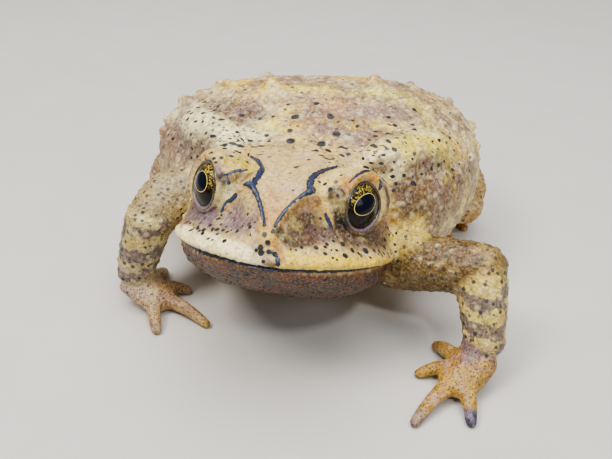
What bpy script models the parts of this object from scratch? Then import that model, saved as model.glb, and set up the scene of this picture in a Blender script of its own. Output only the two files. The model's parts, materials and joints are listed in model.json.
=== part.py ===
"""A life-size Asian common toad, sitting up on its forelimbs, as a still museum model.

Run with: blender --background --python part.py
Every piece of the body is its own closed solid. The toad faces -Y, its left side is +X, and the floor
is Z = 0. Sizes below are millimetres and become Blender's metres when a mesh is made.
"""

import math
import random

import bmesh
import bpy
import numpy as np
from mathutils import Matrix, Vector
from mathutils.bvhtree import BVHTree

MM = 0.001
GAP = 0.3
SIDES = {"left": 1, "right": -1}

# Driving dimensions of the head, in its own frame: the origin is the middle of the upper lip's edge,
# y runs back along the jaw and z runs up.
HEAD_HALF_WIDTH = 20.5
JAW_CORNER_Y = 23.0
NECK_Y = 30.0
LIP_DROP = 3.2
HEAD_PLACE = (-0.9, -47.0, 28.3)
HEAD_YAW = 2.9
HEAD_PITCH = 16.6
HEAD_ROLL = 2.2

EYE_CENTRE = (11.0, 15.5, 8.1)
EYE_RADIUS = 5.6
EYE_OUTWARD = (0.772, -0.614, 0.165)
EYE_OPENING_ANGLES = (55.0, 43.0)
EYE_OPENING_TILT = 50.0
LID_THICKNESS = 1.0

TYMPANUM_PLACE = (19.0, 25.8, 4.0)
TYMPANUM_RADIUS = 2.2
NOSTRIL_PLACE = (1.9, 0.6, 5.3)
NOSTRIL_RADIUS = 0.6

CREST_RADIUS = 0.6
BLOCK_SIZE = 300.0


def spline(knots, values, at):
    """Smooth curve through (knots, values), read at one place."""
    knots = np.asarray(knots, float)
    values = np.asarray(values, float)
    slopes = np.gradient(values, knots)
    place = float(np.clip(at, knots[0], knots[-1]))
    i = int(np.clip(np.searchsorted(knots, place) - 1, 0, len(knots) - 2))
    step = knots[i + 1] - knots[i]
    t = (place - knots[i]) / step
    return (
        (2 * t**3 - 3 * t**2 + 1) * values[i]
        + (t**3 - 2 * t**2 + t) * step * slopes[i]
        + (3 * t**2 - 2 * t**3) * values[i + 1]
        + (t**3 - t**2) * step * slopes[i + 1]
    )


def head_matrix():
    """From the head's own frame to the floor's, in millimetres."""
    turn = (
        Matrix.Rotation(math.radians(HEAD_YAW), 4, "Z")
        @ Matrix.Rotation(-math.radians(HEAD_PITCH), 4, "X")
        @ Matrix.Rotation(math.radians(HEAD_ROLL), 4, "Y")
    )
    return Matrix.Translation(HEAD_PLACE) @ turn


HEAD = head_matrix()


def of_head(point, side=1):
    """A point of the head's left side, or its mirror image, in the floor's frame."""
    return HEAD @ Vector((point[0] * side, point[1], point[2]))


def head_direction(direction, side=1):
    return HEAD.to_3x3() @ Vector((direction[0] * side, direction[1], direction[2]))


# Scene, materials and mesh helpers


def clear_scene():
    for obj in list(bpy.data.objects):
        bpy.data.objects.remove(obj)


def new_collection(name):
    made = bpy.data.collections.new(name)
    bpy.context.scene.collection.children.link(made)
    return made


def material(name, colour, roughness):
    made = bpy.data.materials.new(name)
    made.use_nodes = True
    shader = made.node_tree.nodes["Principled BSDF"]
    shader.inputs["Base Color"].default_value = (*colour, 1.0)
    shader.inputs["Roughness"].default_value = roughness
    shader.inputs["Metallic"].default_value = 0.0
    return made


def mesh_object(name, points, faces):
    """A closed mesh from points in millimetres, with its faces turned outwards."""
    mesh = bpy.data.meshes.new(name)
    mesh.from_pydata([Vector(p) * MM for p in points], [], faces)
    shape = bmesh.new()
    shape.from_mesh(mesh)
    bmesh.ops.recalc_face_normals(shape, faces=shape.faces)
    shape.to_mesh(mesh)
    shape.free()
    made = bpy.data.objects.new(name, mesh)
    PARTS.objects.link(made)
    return made


def ring_loft(name, rings, first_tip, last_tip):
    """A skin over rings of equally many points, closed at each end by a fan to a tip."""
    count = len(rings[0])
    points = [p for ring in rings for p in ring]
    faces = []
    for level in range(len(rings) - 1):
        for i in range(count):
            j = (i + 1) % count
            a, b = level * count, (level + 1) * count
            faces.append((a + i, a + j, b + j, b + i))
    points += [first_tip, last_tip]
    last = (len(rings) - 1) * count
    for i in range(count):
        j = (i + 1) % count
        faces.append((len(points) - 2, j, i))
        faces.append((len(points) - 1, last + i, last + j))
    return mesh_object(name, points, faces)


def limb(name, path, sides=14, steps=4, flatten=1.0, round_end=False):
    """A tapering round limb. Each entry of path is x, y, z and the radius there."""
    path = np.asarray(path, float)
    knots = np.arange(len(path))
    places = np.linspace(0, len(path) - 1, (len(path) - 1) * steps + 1)
    line = np.array([[spline(knots, path[:, k], t) for k in range(4)] for t in places])
    centres = [Vector(p) for p in line[:, :3]]
    rings = []
    across = None
    for i, centre in enumerate(centres):
        ahead = centres[min(i + 1, len(centres) - 1)] - centres[max(i - 1, 0)]
        ahead.normalize()
        if across is None:
            across = ahead.cross(Vector((0, 0, 1)))
            if across.length < 0.2:
                across = ahead.cross(Vector((0, 1, 0)))
        across = (across - ahead * across.dot(ahead)).normalized()
        over = across.cross(ahead)
        radius = line[i, 3]
        ring = []
        for s in range(sides):
            angle = 2 * math.pi * s / sides
            ring.append(
                centre
                + across * (radius * math.cos(angle))
                + over * (radius * flatten * math.sin(angle))
            )
        rings.append(ring)
    first = centres[0] + (centres[0] - centres[1]).normalized() * line[0, 3] * 0.5
    ahead = (centres[-1] - centres[-2]).normalized() * line[-1, 3]
    if round_end:
        end_ring = rings[-1]
        for angle in (35, 65):
            shrink = math.cos(math.radians(angle))
            middle = centres[-1] + ahead * math.sin(math.radians(angle))
            rings.append([middle + (point - centres[-1]) * shrink for point in end_ring])
    return ring_loft(name, rings, first, centres[-1] + ahead * (1.0 if round_end else 0.5))


def ball(name, centre, radii, turn=None, segments=20, rings=12):
    """An ellipsoid from a UV sphere. turn is a rotation from its own axes to the floor's."""
    shape = bmesh.new()
    bmesh.ops.create_uvsphere(shape, u_segments=segments, v_segments=rings, radius=1.0)
    place = Matrix.Translation(Vector(centre) * MM)
    place = place @ (turn.to_4x4() if turn else Matrix.Identity(4))
    shape.transform(place @ Matrix.Diagonal([*(Vector(radii) * MM), 1.0]))
    mesh = bpy.data.meshes.new(name)
    shape.to_mesh(mesh)
    shape.free()
    made = bpy.data.objects.new(name, mesh)
    PARTS.objects.link(made)
    return made


def drum(name, centre, axis, near_radii, length, sides=24, spread=1.0, tilt=0.0):
    """An elliptic drum along axis from centre. Its far end is spread times as wide as its near end."""
    shape = bmesh.new()
    bmesh.ops.create_cone(
        shape, cap_ends=True, segments=sides, radius1=1.0, radius2=spread, depth=1.0
    )
    shape.transform(Matrix.Translation((0, 0, 0.5)))
    turn = frame_along(axis).to_4x4() @ Matrix.Rotation(math.radians(tilt), 4, "Z")
    size = Matrix.Diagonal([near_radii[0] * MM, near_radii[1] * MM, length * MM, 1.0])
    shape.transform(Matrix.Translation(Vector(centre) * MM) @ turn @ size)
    mesh = bpy.data.meshes.new(name)
    shape.to_mesh(mesh)
    shape.free()
    made = bpy.data.objects.new(name, mesh)
    PARTS.objects.link(made)
    return made


def frame_along(axis):
    """A rotation whose z is axis, whose x is level and whose y is the steepest way up."""
    z = Vector(axis).normalized()
    x = Vector((0, 0, 1)).cross(z).normalized()
    return Matrix((x, z.cross(x), z)).transposed()


def tube(name, points, radius, resolution=1):
    """A round tube along points, as a curve made into a closed mesh."""
    curve = bpy.data.curves.new(name, "CURVE")
    curve.dimensions = "3D"
    curve.bevel_depth = radius * MM
    curve.bevel_resolution = resolution
    curve.use_fill_caps = True
    line = curve.splines.new("POLY")
    line.points.add(len(points) - 1)
    for spot, point in zip(line.points, points):
        spot.co = (*(Vector(point) * MM), 1.0)
    guide = bpy.data.objects.new(name + "_guide", curve)
    PARTS.objects.link(guide)
    graph = bpy.context.evaluated_depsgraph_get()
    mesh = bpy.data.meshes.new_from_object(guide.evaluated_get(graph))
    shape = bmesh.new()
    shape.from_mesh(mesh)
    bmesh.ops.remove_doubles(shape, verts=shape.verts, dist=0.01 * MM)
    bmesh.ops.recalc_face_normals(shape, faces=shape.faces)
    shape.to_mesh(mesh)
    shape.free()
    bpy.data.objects.remove(guide)
    made = bpy.data.objects.new(name, mesh)
    PARTS.objects.link(made)
    return made


# Joining, cutting and trimming


def bake_modifiers(obj):
    graph = bpy.context.evaluated_depsgraph_get()
    mesh = bpy.data.meshes.new_from_object(obj.evaluated_get(graph))
    obj.modifiers.clear()
    obj.data = mesh


def join(obj, pieces):
    """One Boolean union of obj with all the pieces, which are then removed."""
    group = bpy.data.collections.new(obj.name + "_pieces")
    for piece in pieces:
        group.objects.link(piece)
    union = obj.modifiers.new("union", "BOOLEAN")
    union.operation = "UNION"
    union.operand_type = "COLLECTION"
    union.collection = group
    union.solver = "MANIFOLD"
    bake_modifiers(obj)
    for piece in pieces:
        bpy.data.objects.remove(piece)
    bpy.data.collections.remove(group)
    return keep_largest(obj)


def cut(obj, cutters, remove=True):
    for cutter in cutters:
        difference = obj.modifiers.new("cut", "BOOLEAN")
        difference.operation = "DIFFERENCE"
        difference.object = cutter
        difference.solver = "MANIFOLD"
        bake_modifiers(obj)
        if remove:
            bpy.data.objects.remove(cutter)
    return keep_largest(obj)


def copy_of(obj, name):
    made = bpy.data.objects.new(name, obj.data.copy())
    PARTS.objects.link(made)
    return made


def grown(obj, distance):
    """A copy of obj, swollen along its normals."""
    made = copy_of(obj, obj.name + "_grown")
    swell = made.modifiers.new("swell", "DISPLACE")
    swell.strength = distance * MM
    swell.mid_level = 0.0
    bake_modifiers(made)
    return made


def trim(obj, neighbours):
    """Cuts away what lies in a neighbour, or within the gap of it."""
    return cut(obj, [grown(other, GAP) for other in neighbours])


def keep_largest(obj):
    """Keeps the largest closed surface of a mesh and drops any scrap."""
    shape = bmesh.new()
    shape.from_mesh(obj.data)
    left = set(shape.faces)
    groups = []
    while left:
        seed = left.pop()
        group, edge = {seed}, [seed]
        while edge:
            face = edge.pop()
            near = [other for side in face.edges if len(side.link_faces) == 2 for other in side.link_faces]
            for other in near:
                if other in left:
                    left.discard(other)
                    group.add(other)
                    edge.append(other)
        groups.append(group)
    groups.sort(key=size_of)
    for group in groups[:-1]:
        bmesh.ops.delete(shape, geom=list(group), context="FACES")
    shape.to_mesh(obj.data)
    shape.free()
    return obj


def size_of(group):
    places = np.array([v.co for face in group for v in face.verts])
    return float(np.prod(places.max(0) - places.min(0) + 1e-9))


def slice_off(obj, point, outward):
    """Cuts obj flat and keeps the side that outward points away from."""
    shape = bmesh.new()
    bmesh.ops.create_cube(shape, size=BLOCK_SIZE * MM)
    turn = Vector(outward).to_track_quat("Z", "Y").to_matrix().to_4x4()
    place = Matrix.Translation(Vector(point) * MM) @ turn
    shape.transform(place @ Matrix.Translation((0, 0, BLOCK_SIZE / 2 * MM)))
    mesh = bpy.data.meshes.new("block")
    shape.to_mesh(mesh)
    shape.free()
    block = bpy.data.objects.new("block", mesh)
    PARTS.objects.link(block)
    return cut(obj, [block])


def level_off(obj):
    """The flat on which a piece rests on the floor."""
    return slice_off(obj, (0, 0, 0), (0, 0, -1))


def surface_of(obj):
    """A search tree over a mesh, which answers in metres."""
    shape = bmesh.new()
    shape.from_mesh(obj.data)
    tree = BVHTree.FromBMesh(shape)
    shape.free()
    return tree


def on_surface(tree, point):
    """The nearest place on a surface to a point in millimetres, and the normal there."""
    place, normal, _, _ = tree.find_nearest(Vector(point) * MM)
    return place / MM, normal


# The head and the trunk


def upper_lip_width(y):
    """Half the width between the lips, a blunt round snout that runs into parallel jaws."""
    if y >= 26.0:
        return HEAD_HALF_WIDTH + 0.1 * (y - 26.0)
    return HEAD_HALF_WIDTH * math.sqrt(max(0.0, 1 - ((26.0 - y) / 27.15) ** 2.3))


def lip_height(y):
    return -LIP_DROP * (max(y, 0.0) / JAW_CORNER_Y) ** 1.3


HEAD_STATIONS = (
    -1.1, -0.9, -0.5, 0.2, 1.2, 2.5, 4.0, 6.0, 8.0, 10.0, 12.0,
    14.0, 16.0, 18.0, 20.0, 22.0, 24.0, 26.0, 28.0, 31.0, 34.0,
)  # fmt: skip
CROWN_Y = (-1.1, -0.5, 0.2, 1.2, 2.5, 5.0, 8.0, 12.0, 16.5, 22.0, 28.0, 34.0)
CROWN_Z = (1.2, 3.4, 4.8, 5.9, 6.9, 8.6, 10.4, 11.8, 12.6, 13.3, 14.6, 15.6)
CANTHUS_Y = (-1.1, 0.2, 1.8, 5.0, 8.5, 12.0, 16.5, 20.0, 24.0, 28.0, 34.0)
CANTHUS_X = (0.3, 0.8, 1.3, 3.2, 5.3, 5.7, 5.3, 6.2, 8.6, 11.0, 13.0)
CANTHUS_RISE = (0.0, 0.1, 0.25, 0.4, 0.6, 0.7, 0.7, 0.5, 0.0, -1.2, -2.0)
CHEEK_Y = (-1.1, 8.0, 16.0, 22.0, 28.0, 34.0)
CHEEK_OUT = (0.42, 0.42, 0.50, 0.62, 0.80, 0.85)
CHEEK_UP = (0.45, 0.45, 0.50, 0.55, 0.60, 0.62)
JAW_Y = (-1.1, -0.5, 0.2, 1.2, 2.5, 5.0, 10.0, 15.0, 20.0, 28.0, 34.0)
JAW_DEPTH = (0.3, 0.9, 1.5, 2.4, 3.4, 4.9, 7.0, 8.6, 9.6, 10.2, 10.2)
OUTLINE_READ = (
    0, 0.5, 1, 1.33, 1.67, 2, 2.33, 2.67, 3, 3.5, 4, 4.5, 5, 5.5, 6, 6.5, 7, 7.5, 8,
)  # fmt: skip


def head_outline(y):
    """Half of the head's outline at one station, from the crown down to the middle of the throat."""
    width = upper_lip_width(y)
    lip = lip_height(y)
    depth = spline(JAW_Y, JAW_DEPTH, y)
    crown = spline(CROWN_Y, CROWN_Z, y)
    canthus_x = min(spline(CANTHUS_Y, CANTHUS_X, y), 0.8 * width + 0.1)
    canthus_z = crown + spline(CANTHUS_Y, CANTHUS_RISE, y)
    lip_top = lip + min(1.6, 0.45 * (crown - lip))
    cheek_x = canthus_x + spline(CHEEK_Y, CHEEK_OUT, y) * (width - canthus_x)
    cheek_z = lip_top + spline(CHEEK_Y, CHEEK_UP, y) * (canthus_z - lip_top)
    lower_lip = lip - min(0.8, 0.3 * depth)
    return [
        (0.0, crown),
        (canthus_x, canthus_z),
        (cheek_x, cheek_z),
        (width, lip_top),
        (0.985 * width, lip + 0.1),
        (0.945 * width, lower_lip),
        (0.88 * width, lip - 0.52 * depth),
        (0.52 * width, lip - 0.93 * depth),
        (0.0, lip - depth),
    ]


def head_loft():
    rings = []
    for y in HEAD_STATIONS:
        half = np.array(head_outline(y))
        mirrored = np.vstack([half[1] * (-1, 1), half, half[-2] * (-1, 1)])
        knots = np.arange(-1, len(half) + 1)
        side = [
            (spline(knots, mirrored[:, 0], u), spline(knots, mirrored[:, 1], u))
            for u in OUTLINE_READ
        ]
        ring = [(x, y, z) for x, z in side]
        ring += [(-x, y, z) for x, z in side[-2:0:-1]]
        rings.append([HEAD @ Vector(p) for p in ring])
    tips = [HEAD @ Vector((0, y, 0.6)) for y in (HEAD_STATIONS[0] - 0.1, HEAD_STATIONS[-1])]
    return ring_loft("head_loft", rings, *tips)


BODY_BEND = 15.0
BEND_START = -22.0
BEND_END = 24.0


def on_body(x, along):
    """A place beside the trunk's axis, which bends to the toad's right behind the shoulders."""
    radius = (BEND_END - BEND_START) / math.radians(BODY_BEND)
    within = min(max(along - BEND_START, 0.0), BEND_END - BEND_START)
    heading = within / radius
    beyond = along - BEND_START - within
    return (
        x * math.cos(heading) - radius * (1 - math.cos(heading)) - beyond * math.sin(heading),
        x * math.sin(heading) + radius * math.sin(heading) + beyond * math.cos(heading) + BEND_START,
    )


TORSO_STATIONS = (
    -22, -20, -17, -13, -9, -5, -1, 3, 7, 11, 15, 19, 23, 27, 31, 35, 39, 43, 46.5, 49.5,
)  # fmt: skip
TORSO_Y = (-22, -18, -13, -8, 0, 6, 12, 20, 28, 36, 43, 48, 50.5)
TORSO_HALF_WIDTH = (17.0, 23.0, 28.0, 31.0, 35.0, 36.5, 37.0, 35.5, 31.0, 24.0, 16.0, 9.5, 4.5)
TORSO_TOP = (27.0, 32.0, 34.4, 35.8, 37.3, 38.2, 38.0, 36.0, 32.0, 27.0, 21.5, 16.5, 13.0)
TORSO_MIDDLE = (18.0, 19.0, 20.0, 20.0, 19.5, 19.0, 18.5, 17.5, 16.0, 14.5, 12.5, 11.5, 11.0)
TORSO_BOTTOM = (6.2, 3.4, 1.7, 0.5, -0.3, -0.3, -0.4, -0.3, 0.2, 1.5, 4.0, 7.0, 9.0)
UPPER_ROUNDNESS = 2.65
LOWER_ROUNDNESS = 2.1
TORSO_POINTS = 16


def torso_loft():
    rings = []
    for y in TORSO_STATIONS:
        width = spline(TORSO_Y, TORSO_HALF_WIDTH, y)
        top = spline(TORSO_Y, TORSO_TOP, y)
        middle = spline(TORSO_Y, TORSO_MIDDLE, y)
        bottom = spline(TORSO_Y, TORSO_BOTTOM, y)
        ring = []
        for i in range(2 * TORSO_POINTS):
            angle = math.pi * i / TORSO_POINTS
            power = 2 / (UPPER_ROUNDNESS if math.cos(angle) > 0 else LOWER_ROUNDNESS)
            x = width * math.copysign(abs(math.sin(angle)) ** power, math.sin(angle))
            rise = abs(math.cos(angle)) ** power
            reach = top - middle if math.cos(angle) > 0 else bottom - middle
            ring.append((*on_body(x, y), middle + reach * rise))
        rings.append(ring)
    front = (0, TORSO_STATIONS[0] - 1, 17)
    return ring_loft("torso_loft", rings, front, (*on_body(0, TORSO_Y[-1] + 0.5), 11.2))


def eye_outward(side):
    return head_direction(EYE_OUTWARD, side).normalized()


def add_lids(trunk):
    """Each eye stands in a lid that bulges from the side of the skull."""
    lids = []
    for word, side in SIDES.items():
        turn = frame_along(eye_outward(side))
        reach = EYE_RADIUS + LID_THICKNESS
        centre = of_head(EYE_CENTRE, side)
        lids.append(ball("lid_" + word, centre, (reach + 0.5, reach, reach), turn, 18, 10))
    return join(trunk, lids)


def open_eyes(head):
    """The socket of each eyeball, and the almond opening between the lids, cut as a cone."""
    reach = [math.tan(math.radians(angle)) for angle in EYE_OPENING_ANGLES]
    for word, side in SIDES.items():
        centre = of_head(EYE_CENTRE, side)
        outward = eye_outward(side)
        socket = ball("socket", centre, [EYE_RADIUS + GAP] * 3, frame_along(outward), 18, 10)
        opening = drum(
            "opening", centre + outward, outward, reach, 8.0, 24, 9.0, EYE_OPENING_TILT * side
        )
        cut(head, [socket, opening])
    return head


CREST_LINES = {
    "canthal": ((1.1, 1.3, 6.5), (1.7, 2.7, 7.9), (3.0, 5.2, 9.5), (4.2, 6.9, 10.7), (5.1, 8.1, 11.3)),
    "supraorbital": (
        (5.0, 8.2, 11.5), (4.3, 12.0, 12.5), (5.0, 15.0, 13.2), (6.2, 18.2, 13.5), (8.4, 22.0, 13.5),
    ),
    "preorbital": ((5.1, 8.1, 11.3), (7.4, 8.4, 8.8), (8.6, 8.4, 7.1), (9.7, 8.2, 5.5)),
    "postorbital": ((8.4, 22.0, 13.5), (12.5, 24.0, 13.0), (16.4, 24.0, 10.4), (18.2, 23.0, 6.6)),
}  # fmt: skip
CREST_POINTS = 7


def add_crests(head):
    """The horny ridges of the skull, each a tube half sunk along its line on the skin."""
    tree = surface_of(head)
    crests = []
    for word, side in SIDES.items():
        for name, line in CREST_LINES.items():
            line = np.array([of_head(p, side) for p in line])
            knots = np.arange(len(line))
            places = np.linspace(0, len(line) - 1, CREST_POINTS)
            path = [[spline(knots, line[:, k], t) for k in range(3)] for t in places]
            path = [on_surface(tree, p)[0] for p in path]
            crests.append(tube(f"{name}_{word}", path, CREST_RADIUS, 0))
    return join(head, crests)


def open_nostrils(head):
    tree = surface_of(head)
    pits = []
    for side in SIDES.values():
        place, _ = on_surface(tree, of_head(NOSTRIL_PLACE, side))
        pits.append(ball("nostril", place, [NOSTRIL_RADIUS] * 3, None, 10, 8))
    return cut(head, pits)


def tympana(head):
    """The eardrums, thin discs let into the side of the head behind the eyes."""
    tree = surface_of(head)
    made = []
    for word, side in SIDES.items():
        place, normal = on_surface(tree, of_head(TYMPANUM_PLACE, side))
        recess = [TYMPANUM_RADIUS + GAP] * 2
        cut(head, [drum("recess", place - normal * 1.0, normal, recess, 3.0, 20)])
        disc = [TYMPANUM_RADIUS] * 2
        made.append(drum("tympanum_" + word, place - normal * 0.7, normal, disc, 0.9, 20))
    return made


def eyeballs():
    return [
        ball("eye_" + word, of_head(EYE_CENTRE, side), [EYE_RADIUS] * 3, frame_along(eye_outward(side)))
        for word, side in SIDES.items()
    ]


PAROTOID_FRONT = (13.0, 27.5, 14.0)
PAROTOID_BACK = (25.5, 41.5, 14.5)
PAROTOID_HALF_WIDTH = 4.6
PAROTOID_RISE = 3.2


def parotoids(trunk, head, torso):
    """The long poison glands behind the eyes, pillows that lie on the neck and shoulders."""
    tree = surface_of(trunk)
    made = []
    for word, side in SIDES.items():
        front, _ = on_surface(tree, of_head(PAROTOID_FRONT, side))
        back, _ = on_surface(tree, of_head(PAROTOID_BACK, side))
        middle, normal = on_surface(tree, (front + back) / 2)
        along = (back - front).normalized()
        across = normal.cross(along).normalized()
        turn = Matrix((across, along, across.cross(along))).transposed()
        radii = (PAROTOID_HALF_WIDTH, (back - front).length / 2 + 1.0, PAROTOID_RISE)
        gland = ball("parotoid_" + word, middle + normal * 0.2, radii, turn, 20, 14)
        made.append(trim(gland, [head, torso]))
    return made


# Warts

WART_SEED = 11
WART_ROWS = 8
WART_LANES = ((12.0, 1.9), (31.0, 1.5), (50.0, 1.7), (70.0, 1.5))
WART_SIDES = 7


def wart(name, place, normal, radius, rise):
    """A low dome of few faces whose root is sunk in the skin."""
    turn = frame_along(normal if abs(normal.z) < 0.999 else Vector((0.02, 0, 1)))
    return ball(name, place - normal * 0.25, (radius, radius, rise + 0.25), turn, WART_SIDES, 4)


def torso_point(along, angle):
    """A place on the trunk's skin, angle degrees down from the backbone, towards the left if above 0."""
    turn = math.radians(angle)
    power = 2 / UPPER_ROUNDNESS
    width = spline(TORSO_Y, TORSO_HALF_WIDTH, along)
    top = spline(TORSO_Y, TORSO_TOP, along)
    middle = spline(TORSO_Y, TORSO_MIDDLE, along)
    x = width * math.copysign(abs(math.sin(turn)) ** power, turn)
    return Vector((*on_body(x, along), middle + (top - middle) * abs(math.cos(turn)) ** power))


def back_wart_places():
    """Large warts in a row down each side of the backbone, and more in rows out to the flanks."""
    draw = random.Random(WART_SEED)
    spots = []
    for row in range(WART_ROWS):
        for side in SIDES.values():
            for lane, (angle, size) in enumerate(WART_LANES):
                along = -12.0 + 6.8 * row + draw.uniform(-1.3, 1.3) + 3.4 * (lane % 2)
                turn = angle + draw.uniform(-4.0, 4.0)
                spots.append((torso_point(along, turn * side), size * draw.uniform(0.75, 1.15)))
    return spots


def add_back_warts(torso, glands):
    tree = surface_of(torso)
    clear_of = [surface_of(gland) for gland in glands]
    warts = []
    for spot, radius in back_wart_places():
        place, normal = on_surface(tree, spot)
        if (place - spot).length > 1.5:
            continue
        if min(other.find_nearest(place * MM)[3] for other in clear_of) < (radius + 0.6) * MM:
            continue
        if (HEAD.inverted() @ place).y < NECK_Y + radius + 1.0:
            continue
        warts.append(wart("wart", place, normal, radius, 0.5 * radius))
    return join(torso, warts)


# Forelimbs

ARM_PATHS = {
    "left": (
        (13.0, -15.0, 13.0, 6.6), (20.0, -20.0, 14.8, 6.0),
        (27.2, -23.0, 17.0, 5.3), (34.6, -25.2, 18.8, 4.9),
    ),
    "right": (
        (-14.0, -6.0, 15.0, 7.4), (-22.0, -11.0, 18.0, 7.0),
        (-28.4, -17.6, 20.0, 6.2), (-30.6, -22.6, 19.2, 5.0),
    ),
}  # fmt: skip
FOREARM_PATHS = {
    "left": (
        (34.6, -25.2, 19.6, 4.5), (35.4, -27.6, 15.8, 4.6),
        (36.4, -30.4, 10.6, 4.1), (37.0, -32.4, 6.4, 3.4),
    ),
    "right": (
        (-30.6, -24.2, 20.0, 4.6), (-31.5, -25.2, 15.8, 4.6),
        (-33.0, -26.2, 10.6, 4.1), (-34.0, -26.8, 6.4, 3.4),
    ),
}  # fmt: skip
PALM_PLACE = {"left": (33.6, -37.4), "right": (-29.6, -28.0)}
HAND_TURN = {"left": 0.0, "right": 38.0}
PALM_PATH = (
    (2.9, 4.4, 5.0, 3.4), (1.6, 2.2, 3.9, 3.9), (-0.2, -0.6, 2.7, 4.1), (-1.4, -2.6, 1.9, 3.3),
)  # fmt: skip
FINGERS = (
    ((-1.0, 4.2, 3.4, 1.7), (-3.2, 7.0, 2.6, 1.5), (-4.6, 9.4, 1.0, 1.2)),
    ((-2.0, 1.8, 2.8, 1.7), (-4.8, 1.8, 2.2, 1.35), (-7.4, 1.2, 0.85, 1.05)),
    ((-1.6, -1.4, 2.5, 1.8), (-4.4, -5.8, 2.3, 1.4), (-6.2, -8.8, 1.5, 1.2), (-7.3, -10.9, 0.8, 1.0)),
    ((0.8, -1.6, 2.5, 1.8), (1.6, -5.0, 2.3, 1.45), (2.2, -8.6, 0.9, 1.1)),
)  # fmt: skip


def hand_point(word, entry):
    """From the left palm's own plan to the floor, mirrored and turned for the right hand."""
    x, y, z, radius = entry
    x *= SIDES[word]
    turn = math.radians(HAND_TURN[word])
    place = PALM_PLACE[word]
    return (
        place[0] + x * math.cos(turn) - y * math.sin(turn),
        place[1] + x * math.sin(turn) + y * math.cos(turn),
        z,
        radius,
    )


def arm(word, torso, head_pieces):
    upper = limb("upper_arm_" + word, ARM_PATHS[word], 14, round_end=True)
    trim(upper, [torso, *head_pieces])
    fore = limb("forearm_" + word, FOREARM_PATHS[word], 14)
    trim(fore, [upper, torso])
    palm = [hand_point(word, entry) for entry in PALM_PATH]
    hand = limb("hand_" + word, palm, 12, 3, 0.62)
    fingers = []
    for i, path in enumerate(FINGERS):
        path = [hand_point(word, entry) for entry in path]
        fingers.append(limb(f"finger_{i}", path, 7, 2, round_end=True))
    join(hand, fingers)
    level_off(hand)
    trim(hand, [fore])
    return [upper, fore, hand]


# Hind limbs, folded at the flanks

THIGH_PATH = (
    (9.0, 35.0, 14.0, 7.5), (19.5, 31.0, 14.5, 8.6), (28.5, 22.5, 13.8, 8.2),
    (33.5, 14.5, 12.6, 6.8), (35.0, 9.0, 11.6, 5.5),
)  # fmt: skip
SHANK_PATH = (
    (35.2, 8.4, 9.6, 4.7), (35.4, 16.0, 6.6, 5.3),
    (33.4, 27.0, 5.6, 4.8), (29.8, 38.0, 4.8, 3.4),
)  # fmt: skip
TARSUS_PATH = (
    (29.6, 39.0, 3.6, 3.0), (29.0, 34.5, 2.8, 2.7),
    (28.6, 29.5, 2.4, 2.5), (28.4, 24.5, 2.2, 2.4),
)  # fmt: skip
FOOT_PLACE = (28.4, 26.0)
FOOT_HEADING = 3.0
TOES = ((-38.0, 7.0, 1.15), (-22.0, 10.0, 1.2), (-8.0, 13.5, 1.25), (4.0, 18.5, 1.3), (20.0, 12.5, 1.2))
WEB_SHARE = 0.5
WEB_THICKNESS = 0.9


def toe_line(place, side, heading, length):
    """Direction and end of a toe that lies on the floor, fanned out from the foot."""
    angle = math.radians(FOOT_HEADING + heading) * side + math.radians(BODY_BEND)
    ahead = Vector((math.sin(angle), -math.cos(angle), 0))
    return ahead, place + ahead * length


def web(name, corners, top):
    """A thin flat membrane between two toes, its edge drawn in like a real web."""
    low = [Vector((x, y, -0.6)) for x, y in corners]
    high = [Vector((x, y, top)) for x, y in corners]
    count = len(low)
    faces = [tuple(range(count)), tuple(range(2 * count - 1, count - 1, -1))]
    faces += [(i, (i + 1) % count, count + (i + 1) % count, count + i) for i in range(count)]
    return mesh_object(name, low + high, faces)


def foot(word):
    side = SIDES[word]
    place = Vector((*on_body(FOOT_PLACE[0] * side, FOOT_PLACE[1]), 0))
    heel_dir, _ = toe_line(place, side, -4.0, 1.0)
    sole = [
        (*(place - heel_dir * 2.0).xy, 1.6, 2.4),
        (*(place + heel_dir * 2.0).xy, 1.4, 2.8),
        (*(place + heel_dir * 5.5).xy, 1.2, 3.1),
    ]
    made = limb("foot_" + word, sole, 12, 3, 0.55)
    pieces = []
    ends = []
    for i, (heading, length, radius) in enumerate(TOES):
        spread = Vector(((i - 2) * 0.95 * side, 0, 0))
        start = place + spread + heel_dir * 1.5
        ahead, end = toe_line(start, side, heading, length + 4.0)
        middle = start + ahead * (length * 0.5)
        path = [
            (*start.xy, radius + 0.1, radius + 0.3),
            (*middle.xy, radius - 0.1, radius),
            (*end.xy, radius * 0.8 - 0.25, radius * 0.8),
        ]
        pieces.append(limb(f"toe_{i}", path, 7, 2, round_end=True))
        ends.append((start, ahead, length + 4.0))
    for i in range(len(ends) - 1):
        (a, to_a, long_a), (b, to_b, long_b) = ends[i], ends[i + 1]
        inset = (b - a).normalized() * 0.25
        reach_a = a + to_a * long_a * WEB_SHARE + inset
        reach_b = b + to_b * long_b * WEB_SHARE - inset
        dip = (reach_a + reach_b) / 2 - (to_a + to_b).normalized() * 1.2
        corners = [(a + inset).xy, reach_a.xy, dip.xy, reach_b.xy, (b - inset).xy]
        pieces.append(web(f"web_{i}", corners, WEB_THICKNESS + 0.04 * i))
    join(made, pieces)
    return level_off(made)


def leg_path(path, word):
    """A path of the left leg, mirrored for the right, beside the bent trunk."""
    return [(*on_body(x * SIDES[word], y), z, r) for x, y, z, r in path]


def leg(word, torso):
    thigh = limb("thigh_" + word, leg_path(THIGH_PATH, word), 18)
    trim(thigh, [torso])
    shank = limb("shank_" + word, leg_path(SHANK_PATH, word), 16)
    trim(shank, [torso, thigh])
    level_off(shank)
    tarsus = limb("tarsus_" + word, leg_path(TARSUS_PATH, word), 14)
    trim(tarsus, [shank, torso])
    level_off(tarsus)
    toes = foot(word)
    trim(toes, [tarsus, shank, torso])
    return [thigh, shank, tarsus, toes]


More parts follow.
